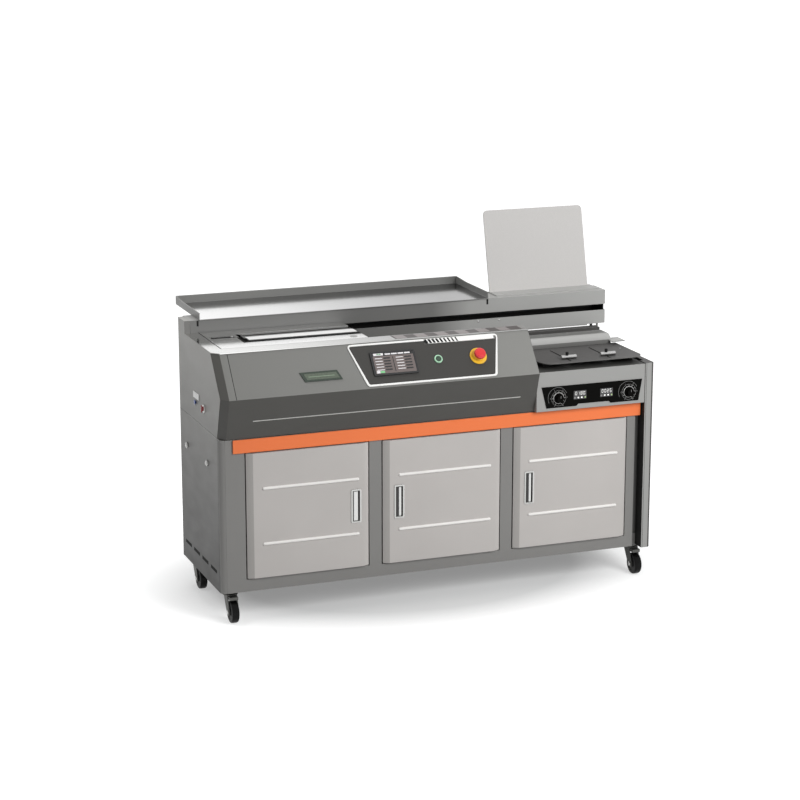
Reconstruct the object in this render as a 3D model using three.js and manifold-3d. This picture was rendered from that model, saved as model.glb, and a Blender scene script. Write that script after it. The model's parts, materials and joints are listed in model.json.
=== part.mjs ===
// Floor-standing thermal binding machine: a three-door cabinet on castors, a sloped console,
// a clamp carriage that runs along a slotted rear beam, and a cover station on the right.
// Millimetres, +Z up, +X to the right of a person standing in front, +Y to the back.
import * as THREE from 'three';
import { mergeVertices } from 'three/addons/utils/BufferGeometryUtils.js';
import Module from 'manifold-3d';

const wasm = await Module();
wasm.setup();

// Clearances used all over
const seam = 0.3; // between two pieces that touch
const overrun = 8; // how far a cut reaches past the face that it opens

// Cabinet. The front face of the door frame is y = 0, the left side x = 0, the ground z = 0.
// Places on the right are counted from the cabinet's length, and heights from its floor.
const cabinet = {
  length: 1560,
  depth: 470,
  floor: 103,
  height: 523,
  side: 20,
  cornerRadius: 20,
  rear: 15,
  frame: 20,
  rightBay: 56,
};
cabinet.frameRight = cabinet.length - cabinet.rightBay;
cabinet.frameTop = cabinet.floor + cabinet.height;
const reach = 3 * cabinet.length; // size of a cutting block
const pan = { sheet: 3, rim: 18, height: 40 };
const vent = { count: 4, length: 73, height: 6, inset: 38, pitch: 103, rise: 60 };
vent.back = cabinet.depth - vent.inset;
vent.z = cabinet.floor + vent.rise;
const rearVent = { count: 7, width: 160, height: 7, pitch: 20, rise: 127, inset: 330 };
rearVent.z = cabinet.floor + rearVent.rise;

// Doors: three of one width, with a stile at each side of the row and between them
const door = {
  leftStile: 90,
  rightStile: 34.6,
  stile: 50.7,
  sill: 45,
  head: 50,
  gap: 3.5,
  proud: 10,
  thick: 20,
  bevel: 22,
  bevelDepth: 9,
  pinInset: 8,
  pinBack: 3,
  pinRadius: 2,
  pinLength: 8,
};
const doorSides = ['left', 'middle', 'right'];
door.width = (cabinet.frameRight - door.leftStile - door.rightStile - 2 * door.stile) / doorSides.length;
door.pitch = door.width + door.stile;
door.bottom = cabinet.floor + door.sill;
door.height = cabinet.height - door.sill - door.head;
const rib = { start: 55, end: 38, radius: 4, low: 117, high: 121 };
const pull = {
  width: 36,
  height: 116,
  insetLeftHung: 29,
  insetRightHung: 38,
  flange: 2,
  lip: 2.5,
  depth: 27,
  wall: 3,
  bar: 11,
  barDepth: 7,
  corner: 5,
};

const band = { left: 46, rightInset: 39, drop: 1, height: 45.5, thick: 6 };
band.right = cabinet.length - band.rightInset;
band.top = cabinet.frameTop - band.drop;
band.bottom = band.top - band.height;

// The cover station takes up the right end of the machine, and the console the rest.
const station = { width: 444 };

// Console in front of the deck
const console_ = {
  lift: 2,
  lowerRise: 142,
  upperRise: 132,
  bottomFront: -4,
  kneeFront: -50.5,
  topFront: 54.5,
  chamfer: 24,
  sheet: 3,
  depth: 27.5,
};
console_.length = cabinet.length - station.width;
console_.bottom = cabinet.frameTop + console_.lift;
console_.knee = console_.bottom + console_.lowerRise;
console_.top = console_.knee + console_.upperRise;
console_.back = console_.topFront + console_.depth;
console_.slope = Math.hypot(console_.upperRise, console_.topFront - console_.kneeFront);

// Control panel: x along the machine, low and high up the slope from the knee
const panel = {
  rightInset: 116,
  width: 544,
  leftSlant: 44,
  rightSlant: 39,
  low: 6,
  topGap: 5.7,
  sheet: 2,
  corner: 14,
  trim: 6.5,
  trimProud: 4,
  thickWidth: 268,
  thickTrim: 18,
};
panel.topRight = console_.length - panel.rightInset;
panel.topLeft = panel.topRight - panel.width;
panel.bottomLeft = panel.topLeft + panel.leftSlant;
panel.bottomRight = panel.topRight - panel.rightSlant;
panel.high = console_.slope - panel.topGap;
panel.thickFrom = panel.topRight - panel.thickWidth;
const screen = { inset: 29, width: 158, rise: 35, height: 88, thick: 5, corner: 4 };
screen.left = panel.bottomLeft + screen.inset;
screen.right = screen.left + screen.width;
screen.low = panel.low + screen.rise;
screen.high = screen.low + screen.height;
const lcd = { gap: 50, width: 130, slant: 14, rise: 37, height: 35, thick: 3 };
lcd.right = panel.topLeft - lcd.gap;
lcd.left = lcd.right - lcd.width;
lcd.low = panel.low + lcd.rise;
lcd.high = lcd.low + lcd.height;
const start = { gap: 79, rise: 79, bezel: 14.7, button: 9.5, bezelHeight: 5, lip: 2, travel: 3 };
start.x = screen.right + start.gap;
start.v = panel.low + start.rise;
const stop = {
  inset: 51,
  rise: 78,
  collar: 30,
  plate: 3,
  sleeve: 15,
  sleeveTop: 10,
  stem: 11,
  head: 20,
  headLow: 16,
  headHigh: 29,
  rimDrop: 3,
  travel: 5,
};
stop.x = panel.bottomRight - stop.inset;
stop.v = panel.low + stop.rise;

// Deck and the plate under it
const deck = { lip: 2.5, rim: 66.5, seamX: 49.5, sheet: 3, skirt: 15, endDrop: 85, foot: 3 };
const work = { drop: 145, sheet: 3 };
deck.top = console_.top + deck.sheet;
deck.front = console_.topFront - deck.lip;
deck.seamY = deck.front + deck.rim;
work.top = deck.top - work.drop;
deck.endTop = deck.top - deck.endDrop;
deck.endBottom = work.top + deck.foot;

// Rear beam with the slot that the clamp's arm runs in
const beam = {
  overhang: 9,
  inset: 80,
  depth: 94,
  drop: 78,
  rise: 43,
  wall: 4,
  slotLeft: 40,
  slotRise: 49,
  slotHeight: 21,
  postInset: 48,
  postRadius: 5,
  post2Inset: 24,
  post2Radius: 4,
  postBack: 14,
};
beam.right = cabinet.length + beam.overhang;
beam.front = cabinet.depth - beam.inset;
beam.back = beam.front + beam.depth;
beam.bottom = deck.top - beam.drop;
beam.top = deck.top + beam.rise;
beam.slotBottom = beam.bottom + beam.slotRise;
beam.slotTop = beam.slotBottom + beam.slotHeight;
beam.postX = beam.right - beam.postInset;
beam.post2X = beam.right - beam.post2Inset;
beam.postY = beam.front + beam.postBack;
const rail = { left: 45, rightInset: 14, depth: 26, play: 1 };
rail.right = beam.right - rail.rightInset;
rail.low = beam.slotBottom + rail.play;
rail.high = beam.slotTop - rail.play;

// Clamp: the carriage holds the fixed jaw, and the front jaw slides on its two rods.
// The jaw line is the face of the fixed jaw, where the spine of the book lies.
const carriage = {
  play: 1,
  width: 510.5,
  frontPlay: 1,
  backPlay: 3,
  sheet: 3,
  drop: 81,
  flange: 4,
  openInset: 105.5,
  mouth: 116,
  jawSetback: 68,
  rearJawInset: 20,
  rearJawDepth: 50,
  rodWidth: 18,
  rodInsetLeft: 154.5,
  rodInsetRight: 46,
  rodHeight: 9,
  armInsetLeft: 139.5,
  armInsetRight: 31,
  armPlay: 3,
  slotInset: 12.5,
  slotLength: 80,
  slotSetback: 41,
  slotWidth: 12,
};
carriage.left = deck.seamX + carriage.play;
carriage.right = carriage.left + carriage.width;
carriage.front = deck.seamY + carriage.frontPlay;
carriage.back = beam.front - carriage.backPlay;
carriage.bottom = deck.top - carriage.drop;
carriage.openLeft = carriage.left + carriage.openInset;
carriage.jawLine = beam.front - carriage.jawSetback;
carriage.openFront = carriage.jawLine - carriage.mouth;
carriage.rearJawLeft = carriage.openLeft + carriage.rearJawInset;
carriage.rearJawBack = carriage.jawLine + carriage.rearJawDepth;
carriage.rodLeft = carriage.left + carriage.rodInsetLeft;
carriage.rodRight = carriage.right - carriage.rodInsetRight;
carriage.armLeft = carriage.left + carriage.armInsetLeft;
carriage.armRight = carriage.right - carriage.armInsetRight;
carriage.armBottom = beam.slotBottom + carriage.armPlay;
carriage.armTop = beam.slotTop - carriage.armPlay;
carriage.slotLeft = carriage.left + carriage.slotInset;
carriage.slotRight = carriage.slotLeft + carriage.slotLength;
carriage.slotFront = carriage.jawLine - carriage.slotSetback;
carriage.slotBack = carriage.slotFront + carriage.slotWidth;
const jaw = { overhang: 7, play: 13, bar: 49, opening: 6, step: 4 };
jaw.left = carriage.rearJawLeft;
jaw.right = carriage.right + jaw.overhang;
jaw.front = carriage.openFront + jaw.play;
jaw.barBack = jaw.front + jaw.bar;
jaw.back = carriage.jawLine - jaw.opening;
jaw.bottom = carriage.bottom + carriage.rodHeight;

// Right-hand housing of the cover station, and the side post beside it
const housing = { gap: 0.5, lift: 1, height: 138, front: -25, wall: 3 };
housing.left = console_.length + housing.gap;
housing.bottom = console_.bottom + housing.lift;
housing.top = housing.bottom + housing.height;
const column = { width: 34, front: -27, round: 10, return: 18, rise: 2 };
column.left = cabinet.length - column.width;
column.top = housing.top + column.rise;
const stationMid = (housing.left + column.left) / 2;

// Rest plate in its holder, on top of the beam over the station
const rest = { inset: 35.5, width: 387, height: 294, thick: 5, lean: 13.3, corner: 16, back: 6, rise: 2 };
rest.left = housing.left + rest.inset;
rest.right = rest.left + rest.width;
rest.y = beam.back - rest.back;
rest.foot = beam.top + rest.rise;
const holder = { end: 14, frontInset: 21, overhang: 6, height: 4, lip: 13, lipThick: 4 };
holder.right = rest.right + holder.end;
holder.front = beam.front + holder.frontInset;
holder.back = beam.back + holder.overhang;

const tray = { left: 50, gap: 8, lap: 6, depth: 298, sheet: 2.5, side: 25, rear: 30, rise: 99 };
tray.right = console_.length - tray.gap;
tray.front = beam.front - tray.lap;
tray.back = tray.front + tray.depth;
const bracket = { sheet: 3, height: 98, reach: 185, toe: 14, thick: 4, inset: 70, count: 3 };
bracket.low = beam.top - bracket.height;

// Knob panel on the housing's front
const knobs = {
  topInsetLeft: 17.5,
  topInsetRight: 12,
  bottomInsetLeft: 36.5,
  bottomInsetRight: 25,
  rise: 11,
  height: 75,
  sheet: 2,
  notchShift: 8.75,
  notchHalf: 65,
  notch: 7,
};
knobs.topLeft = housing.left + knobs.topInsetLeft;
knobs.topRight = column.left - knobs.topInsetRight;
knobs.bottomLeft = housing.left + knobs.bottomInsetLeft;
knobs.bottomRight = column.left - knobs.bottomInsetRight;
knobs.low = housing.bottom + knobs.rise;
knobs.high = knobs.low + knobs.height;
knobs.notchLeft = stationMid + knobs.notchShift - knobs.notchHalf;
knobs.notchRight = stationMid + knobs.notchShift + knobs.notchHalf;
const dial = {
  insetLeft: 45,
  insetRight: 37,
  rise: 33,
  skirt: 18,
  skirtHeight: 3,
  grip: 13,
  height: 18,
  pointer: 2.5,
  pointerLength: 12,
};
dial.leftX = knobs.bottomLeft + dial.insetLeft;
dial.rightX = knobs.bottomRight - dial.insetRight;
dial.z = knobs.low + dial.rise;
const readout = {
  leftOfMid: 68.25,
  rightOfMid: 31.75,
  width: 48,
  rise: 24,
  height: 30,
  sheet: 2,
  lamps: 4,
  lampRadius: 2.6,
  lampProud: 1.5,
  lampInset: 5.5,
  lampPitch: 13,
};
readout.leftX = stationMid - readout.leftOfMid;
readout.rightX = stationMid + readout.rightOfMid;
readout.low = knobs.low + readout.rise;
readout.high = readout.low + readout.height;
readout.lampZ = readout.low + readout.lampInset;

// Nip plates that press the cover on, in front of and behind the jaw line
const apron = {
  insetLeft: 33.5,
  insetRight: 8,
  jawGap: 6.5,
  depth: 82.5,
  rise: 34,
  bend: 25,
  sheet: 3,
  footInsetLeft: 20,
  footInsetRight: 2,
  foot: 16,
  footGap: 18,
  tabOverlap: 8,
  tabWidth: 51,
  tabReach: 28,
  tabDepth: 61,
  tabDrop: 20,
};
apron.left = housing.left + apron.insetLeft;
apron.right = column.left - apron.insetRight;
apron.back = carriage.jawLine - apron.jawGap;
apron.front = apron.back - apron.depth;
apron.footLeft = apron.left + apron.footInsetLeft;
apron.footRight = apron.right - apron.footInsetRight;
apron.tabLeft = apron.right - apron.tabOverlap;
apron.tabRight = apron.tabLeft + apron.tabWidth;
apron.tabFront = apron.front - apron.tabReach;
apron.tabBack = apron.tabFront + apron.tabDepth;
const nip = { overlap: 16, jawGap: 36, depth: 36, sheet: 3, foot: 16, footInset: 20 };
nip.left = apron.left;
nip.right = apron.right + nip.overlap;
nip.front = carriage.jawLine + nip.jawGap;
nip.back = nip.front + nip.depth;

// Cover table, whose back edge lies under the front nip plate, with its two stops
const table = {
  insetLeft: 38.5,
  overlapRight: 15,
  setback: 33,
  lap: 11,
  rise: 19,
  sheet: 2.5,
  corner: 45,
  slotInsetLeft: 112,
  slotInsetRight: 125,
  slotWidth: 6.5,
  slotFrontInset: 17,
  slotBackInset: 39,
  foot: 10,
  footInset: 22,
  footSetback: 52,
};
table.left = housing.left + table.insetLeft;
table.right = column.left + table.overlapRight;
table.front = housing.front + table.setback;
table.back = apron.front + table.lap;
table.top = housing.top + table.rise;
table.slotA = table.left + table.slotInsetLeft;
table.slotB = table.right - table.slotInsetRight;
table.slotFront = table.front + table.slotFrontInset;
table.slotBack = table.back - table.slotBackInset;
table.footFront = table.front + table.footSetback;
apron.footFront = table.back + apron.footGap;
apron.top = table.top + apron.rise;
apron.tabTop = apron.top - apron.tabDrop;
nip.top = apron.top;
const guide = {
  setback: 52,
  radius: 7,
  leftOf: 22,
  rightOf: 34,
  pinRadius: 4.4,
  pinRise: 25,
  neck: 2.6,
  screwHead: 5.5,
  screwHeadHeight: 10.4,
  clear: 3,
};
guide.y = table.front + guide.setback;

// Castors
const castor = {
  inset: 40,
  insetRight: 42,
  frontY: 38,
  insetRear: 49,
  trail: 32,
  wheelRadius: 37.5,
  wheelWidth: 25,
  crown: 3,
  hub: 12,
  axle: 5,
  axleOut: 4,
  forkWall: 3,
  forkGap: 2,
  forkDrop: 9,
  forkDisc: 26,
  raceRadius: 17,
  legBase: 22,
  legTip: 11,
  pivot: 8,
  nut: 3,
};
castor.leftX = castor.inset;
castor.rightX = cabinet.length - castor.insetRight;
castor.rearY = cabinet.depth - castor.insetRear;
castor.forkTop = cabinet.floor - castor.forkDrop;

// Glue tank and milling head under the clamp's path, set out from the console's right end
const tank = { setLeft: 346, half: 110, frontOf: 60, backOf: 56, drop: 12, wall: 4, floor: 6 };
tank.x = console_.length - tank.setLeft;
tank.left = tank.x - tank.half;
tank.right = tank.x + tank.half;
tank.front = carriage.jawLine - tank.frontOf;
tank.back = carriage.jawLine + tank.backOf;
tank.top = carriage.bottom - tank.drop;
const roller = { radius: 25, length: 84, drop: 29, axle: 6 };
roller.x = tank.x;
roller.z = carriage.bottom - roller.drop;
const mill = {
  setLeft: 116,
  motorRadius: 48,
  neck: 10,
  spindle: 9,
  bore: 9.4,
  disc: 55,
  thick: 10,
  drop: 8,
  spindleDepth: 20,
};
mill.x = console_.length - mill.setLeft;
mill.discHigh = carriage.bottom - mill.drop;
mill.discLow = mill.discHigh - mill.thick;
mill.motorTop = mill.discLow - mill.neck;

// Small pieces on the left side, at a height counted from the console's knee
const sidePlate = { front: 224, width: 66, drop: 60, height: 21, thick: 2 };
sidePlate.back = sidePlate.front + sidePlate.width;
sidePlate.low = console_.knee - sidePlate.drop;
sidePlate.high = sidePlate.low + sidePlate.height;
const control = { drop: 13 };
control.z = sidePlate.low - control.drop;
const blue = { setback: 39, radius: 8, out: 7, travel: 3, stem: 4, depth: 8 };
blue.y = sidePlate.front + blue.setback;
const red = { ahead: 58, base: 14, plate: 3, knob: 8, knobOut: 8, tail: 12 };
red.y = sidePlate.front - red.ahead;
const lock = { frontY: 136, insetRear: 87, drop: 107, radius: 10, out: 6, core: 6.5, coreOut: 8, depth: 8 };
lock.rearY = cabinet.depth - lock.insetRear;
lock.z = cabinet.frameTop - lock.drop;

// Materials
function paint(color, roughness = 0.45, metalness = 0.3) {
  return new THREE.MeshStandardMaterial({ color, roughness, metalness });
}

const grey = 0x6a6a68;
const lightGrey = 0xb4b4b2;
const dark = 0x3c3c3c;
const black = 0x141414;
const orange = 0xee7a3c;

// Geometry helpers
function solid(geometry) {
  const bare = geometry.clone();
  bare.deleteAttribute('normal');
  bare.deleteAttribute('uv');
  const merged = mergeVertices(bare);
  return new wasm.Manifold(
    new wasm.Mesh({
      numProp: 3,
      vertProperties: new Float32Array(merged.attributes.position.array),
      triVerts: new Uint32Array(merged.index.array),
    }),
  );
}

function join(...pieces) {
  return pieces.reduce((whole, piece) => whole.add(piece));
}

function cut(whole, ...pieces) {
  return pieces.reduce((left, piece) => left.subtract(piece), whole);
}

function faceted(body) {
  const mesh = body.getMesh();
  const geometry = new THREE.BufferGeometry();
  geometry.setAttribute('position', new THREE.BufferAttribute(new Float32Array(mesh.vertProperties), 3));
  geometry.setIndex(new THREE.BufferAttribute(new Uint32Array(mesh.triVerts), 1));
  geometry.computeVertexNormals();
  return geometry;
}

function block(x0, x1, y0, y1, z0, z1) {
  const geometry = new THREE.BoxGeometry(x1 - x0, y1 - y0, z1 - z0);
  geometry.translate((x0 + x1) / 2, (y0 + y1) / 2, (z0 + z1) / 2);
  return solid(geometry);
}

function outline(points) {
  return new THREE.Shape(points.map(([a, b]) => new THREE.Vector2(a, b)));
}

function prism(shape, from, to, matrix) {
  const geometry = new THREE.ExtrudeGeometry(shape, { depth: to - from, bevelEnabled: false });
  geometry.translate(0, 0, from);
  geometry.applyMatrix4(matrix);
  return solid(geometry);
}

// Prism along Z from an (x, y) outline, along X from (y, z), and along Y from (x, z)
const upward = new THREE.Matrix4();
const sideways = new THREE.Matrix4().set(0, 0, 1, 0, 1, 0, 0, 0, 0, 1, 0, 0, 0, 0, 0, 1);
const backward = new THREE.Matrix4().set(1, 0, 0, 0, 0, 0, 1, 0, 0, 1, 0, 0, 0, 0, 0, 1);

function alongZ(points, z0, z1) {
  return prism(outline(points), z0, z1, upward);
}

function alongX(points, x0, x1) {
  return prism(outline(points), x0, x1, sideways);
}

// This axis order mirrors the outline, so the faces are turned the right way round again.
function alongY(points, y0, y1) {
  const geometry = new THREE.ExtrudeGeometry(outline(points), { depth: y1 - y0, bevelEnabled: false });
  geometry.translate(0, 0, y0);
  geometry.applyMatrix4(backward);
  const position = geometry.attributes.position;
  for (let i = 0; i < position.count; i += 3) {
    for (let axis = 0; axis < 3; axis += 1) {
      const kept = position.getComponent(i + 1, axis);
      position.setComponent(i + 1, axis, position.getComponent(i + 2, axis));
      position.setComponent(i + 2, axis, kept);
    }
  }
  return solid(geometry);
}

function roundedRect(x0, x1, y0, y1, radius, steps = 4) {
  const points = [];
  const corners = [
    [x1 - radius, y0 + radius, -Math.PI / 2],
    [x1 - radius, y1 - radius, 0],
    [x0 + radius, y1 - radius, Math.PI / 2],
    [x0 + radius, y0 + radius, Math.PI],
  ];
  for (const [cx, cy, from] of corners) {
    for (let i = 0; i <= steps; i += 1) {
      const angle = from + (i / steps) * (Math.PI / 2);
      points.push([cx + radius * Math.cos(angle), cy + radius * Math.sin(angle)]);
    }
  }
  return points;
}

// Rounds the corners of a convex outline
function rounded(points, radius, steps = 4) {
  const out = [];
  points.forEach((point, i) => {
    const here = new THREE.Vector2(...point);
    const [last, next] = [points.length - 1, 1].map((step) => points[(i + step) % points.length]);
    const before = new THREE.Vector2(...last).sub(here).normalize();
    const after = new THREE.Vector2(...next).sub(here).normalize();
    const half = Math.acos(THREE.MathUtils.clamp(before.dot(after), -1, 1)) / 2;
    const back = radius / Math.tan(half);
    const a = here.clone().addScaledVector(before, back);
    const b = here.clone().addScaledVector(after, back);
    for (let s = 0; s <= steps; s += 1) {
      const t = s / steps;
      const p = a.clone().multiplyScalar((1 - t) * (1 - t));
      p.addScaledVector(here, 2 * t * (1 - t)).addScaledVector(b, t * t);
      out.push([p.x, p.y]);
    }
  });
  return out;
}

function rod(axis, radius, from, to, a, b, sides = 24) {
  const geometry = new THREE.CylinderGeometry(radius, radius, to - from, sides);
  geometry.translate(0, (from + to) / 2, 0);
  if (axis === 'z') geometry.rotateX(Math.PI / 2).translate(a, b, 0);
  if (axis === 'x') geometry.rotateZ(-Math.PI / 2).translate(0, a, b);
  if (axis === 'y') geometry.translate(a, 0, b);
  return solid(geometry);
}

// Turned body about Z from (radius, height) points that start and end on the axis or close on themselves
function turned(points, sides = 32) {
  const profile = points.map(([r, h]) => new THREE.Vector2(r, h));
  return solid(new THREE.LatheGeometry(profile, sides).rotateX(Math.PI / 2));
}

function moved(body, x, y, z) {
  return body.translate([x, y, z]);
}

// Everything on the far side of a plane through a point, as a big block
function beyond(point, normal) {
  const geometry = new THREE.BoxGeometry(reach, reach, reach);
  geometry.translate(0, 0, reach / 2);
  const toward = new THREE.Vector3(...normal).normalize();
  const turn = new THREE.Quaternion().setFromUnitVectors(new THREE.Vector3(0, 0, 1), toward);
  geometry.applyQuaternion(turn);
  geometry.translate(...point);
  return solid(geometry);
}

const machine = new THREE.Group();

function place(name, body, material, parent = machine) {
  const mesh = new THREE.Mesh(body.isBufferGeometry ? body : faceted(body), material);
  mesh.name = name;
  parent.add(mesh);
  return mesh;
}

// Console faces: the lower one leans out to the knee and the upper one leans back to the deck.
const lowerSlope = (console_.kneeFront - console_.bottomFront) / (console_.knee - console_.bottom);
const upperSlope = (console_.topFront - console_.kneeFront) / (console_.top - console_.knee);

// A block of the console's section whose faces are moved back by an offset
function behindConsole(offset, x0, x1, back, z0, z1) {
  const kneeY = console_.kneeFront + offset;
  return cut(
    block(x0, x1, kneeY - overrun, back, z0, z1),
    beyond([0, kneeY, console_.knee], [0, -1, lowerSlope]),
    beyond([0, kneeY, console_.knee], [0, -1, upperSlope]),
  );
}

function basePan() {
  const x0 = cabinet.side + seam;
  const x1 = cabinet.length - cabinet.side - seam;
  const y0 = cabinet.frame + seam;
  const y1 = cabinet.depth - cabinet.rear - seam;
  const z0 = cabinet.floor;
  const shell = cut(
    block(x0, x1, y0, y1, z0, z0 + pan.height),
    block(x0 + pan.rim, x1 - pan.rim, y0 + pan.rim, y1 - pan.rim, z0 + pan.sheet, z0 + pan.height + overrun),
  );
  const races = [];
  const low = castor.forkTop - castor.forkWall;
  for (const x of [castor.leftX, castor.rightX]) {
    for (const y of [castor.frontY, castor.rearY]) {
      races.push(rod('z', castor.raceRadius, castor.forkTop + seam, z0 + pan.sheet, x, y));
      races.push(rod('z', castor.pivot - seam, low - seam - castor.nut, z0 + pan.sheet, x, y));
      races.push(rod('z', castor.pivot + castor.nut, low - seam - castor.nut, low - seam, x, y));
    }
  }
  return join(shell, ...races);
}

function leftSide() {
  const corner = cabinet.cornerRadius;
  const points = [[cabinet.side, cabinet.depth], [0, cabinet.depth]];
  const steps = 6;
  for (let i = 0; i <= steps; i += 1) {
    const angle = Math.PI + (i / steps) * (Math.PI / 2);
    points.push([corner + corner * Math.cos(angle), corner + corner * Math.sin(angle)]);
  }
  const lower = alongZ(points, cabinet.floor, cabinet.frameTop);
  const upper = behindConsole(
    console_.chamfer + seam, 0, cabinet.side, cabinet.depth, cabinet.frameTop, console_.top - seam,
  );
  const end = block(0, cabinet.side, beam.front, cabinet.depth, console_.top - deck.sheet, beam.top);
  const slots = [];
  for (let i = 0; i < vent.count; i += 1) {
    const y1 = vent.back - i * vent.pitch;
    slots.push(block(-overrun, cabinet.side + overrun, y1 - vent.length, y1, vent.z, vent.z + vent.height));
  }
  const holes = [lock.frontY, lock.rearY].map((y) =>
    rod('x', lock.core + seam, -overrun, lock.depth, y, lock.z, 20));
  holes.push(rod('x', blue.stem + seam, -overrun, blue.depth + blue.travel + seam, blue.y, control.z, 20));
  return cut(join(lower, upper, end), ...slots, ...holes);
}

function rightSide() {
  const { left, front, round, top } = column;
  const right = cabinet.length;
  const inner = right - cabinet.side;
  const points = [[left, front]];
  const steps = 5;
  for (let i = 0; i <= steps; i += 1) {
    const angle = -Math.PI / 2 + (i / steps) * (Math.PI / 2);
    points.push([right - round + round * Math.cos(angle), front + round + round * Math.sin(angle)]);
  }
  points.push([right, cabinet.depth], [inner, cabinet.depth], [inner, cabinet.frame], [left, cabinet.frame]);
  const post = alongZ(points, cabinet.floor, top);
  const returned = block(
    cabinet.frameRight + seam, inner + seam, cabinet.frame + seam, cabinet.frame + column.return,
    cabinet.floor + pan.height + seam, housing.bottom - seam,
  );
  return join(post, returned);
}

function rearPanel() {
  const x0 = cabinet.side + seam;
  const x1 = cabinet.length - cabinet.side - seam;
  const split = housing.left - seam;
  const tall = beam.bottom - seam;
  const plate = alongY(
    [
      [x0, cabinet.floor],
      [x1, cabinet.floor],
      [x1, column.top],
      [split, column.top],
      [split, tall],
      [x0, tall],
    ],
    cabinet.depth - cabinet.rear,
    cabinet.depth,
  );
  const cuts = [];
  for (const x of [rearVent.inset, x1 - rearVent.inset - rearVent.width]) {
    for (let i = 0; i < rearVent.count; i += 1) {
      const z = rearVent.z + i * rearVent.pitch;
      cuts.push(block(
        x, x + rearVent.width, cabinet.depth - cabinet.rear - overrun, cabinet.depth + overrun, z,
        z + rearVent.height,
      ));
    }
  }
  return cut(plate, ...cuts);
}

const doorLefts = doorSides.map((side, i) => door.leftStile + i * door.pitch);
// The first door hangs on its left edge, the other two on their right edge
const hungLeft = [true, false, false];
const pinX = (i) => (hungLeft[i] ? doorLefts[i] + door.pinInset : doorLefts[i] + door.width - door.pinInset);

function frontFrame() {
  const top = door.bottom + door.height;
  const body = block(
    cabinet.side + seam, cabinet.frameRight, 0, cabinet.frame, cabinet.floor, cabinet.frameTop,
  );
  const cuts = [];
  doorLefts.forEach((x, i) => {
    cuts.push(block(
      x - door.gap, x + door.width + door.gap, -overrun, cabinet.frame + overrun, door.bottom - door.gap,
      top + door.gap,
    ));
    const low = door.bottom - door.pinLength - seam;
    cuts.push(rod('z', door.pinRadius + seam, low, top + door.pinLength + seam, pinX(i), door.pinBack, 16));
  });
  return cut(body, ...cuts);
}

function doorBody(i) {
  const x = doorLefts[i];
  const w = door.width;
  const face = -door.proud;
  const back = door.thick - door.proud;
  const edge = face + door.bevelDepth;
  const z0 = door.bottom;
  const z1 = z0 + door.height;
  const plate = alongZ(
    [[x, back], [x, edge], [x + door.bevel, face], [x + w - door.bevel, face], [x + w, edge], [x + w, back]],
    z0,
    z1,
  );
  const ribs = [z0 + rib.low, z1 - rib.high].map((z) =>
    rod('x', rib.radius, x + rib.start, x + w - rib.end, face, z, 12));
  const pin = rod('z', door.pinRadius, z0 - door.pinLength, z1 + door.pinLength, pinX(i), door.pinBack, 16);
  const [p0, p1] = pullSpan(i);
  const inset = pull.flange;
  const middle = z0 + door.height / 2;
  const half = pull.height / 2;
  const hole = block(
    p0 + inset, p1 - inset, face - overrun, back + overrun, middle - half + inset, middle + half - inset,
  );
  return cut(join(plate, ...ribs, pin), hole);
}

function pullSpan(i) {
  const x = doorLefts[i];
  const from = hungLeft[i] ? x + door.width - pull.insetLeftHung - pull.width : x + pull.insetRightHung;
  return [from, from + pull.width];
}

// Recessed pull: a flanged cup with a grip bar along the side that is nearer to the hinge
function pullBody(i) {
  const [x0, x1] = pullSpan(i);
  const middle = door.bottom + door.height / 2;
  const z0 = middle - pull.height / 2;
  const z1 = middle + pull.height / 2;
  const face = -door.proud - seam;
  const rim = pull.flange + seam;
  const wall = rim + pull.wall;
  const floor = face + pull.depth;
  const flange = alongY(roundedRect(x0, x1, z0, z1, pull.corner), face - pull.lip, face);
  const cup = block(x0 + rim, x1 - rim, face - pull.lip / 2, floor, z0 + rim, z1 - rim);
  const pocket = block(x0 + wall, x1 - wall, face - overrun, floor - pull.wall, z0 + wall, z1 - wall);
  const barLeft = hungLeft[i] ? x0 + wall - pull.wall / 2 : x1 - wall + pull.wall / 2 - pull.bar;
  const bar = block(
    barLeft, barLeft + pull.bar, face - pull.lip, face - pull.lip + pull.barDepth, z0 + wall - pull.wall / 2,
    z1 - wall + pull.wall / 2,
  );
  return join(cut(join(flange, cup), pocket), bar);
}

function consoleShell() {
  const { length, chamfer, sheet, bottom, top, back } = console_;
  const kneeY = console_.kneeFront;
  const outer = behindConsole(0, 0, length, back, bottom, top - seam);
  const lowerFacet = beyond([0, kneeY + chamfer, console_.knee], [-1, -1, lowerSlope]);
  const upperFacet = beyond([0, kneeY + chamfer, console_.knee], [-1, -1, upperSlope]);
  const sideZone = behindConsole(
    chamfer, -overrun, cabinet.side + seam, back + overrun, bottom - overrun, top + overrun,
  );
  const hollow = behindConsole(
    sheet / Math.sin(Math.atan2(1, Math.abs(upperSlope))), chamfer + sheet, length - sheet, back + overrun,
    bottom + sheet, top + overrun,
  );
  return cut(outer, lowerFacet, upperFacet, sideZone, hollow);
}

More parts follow.
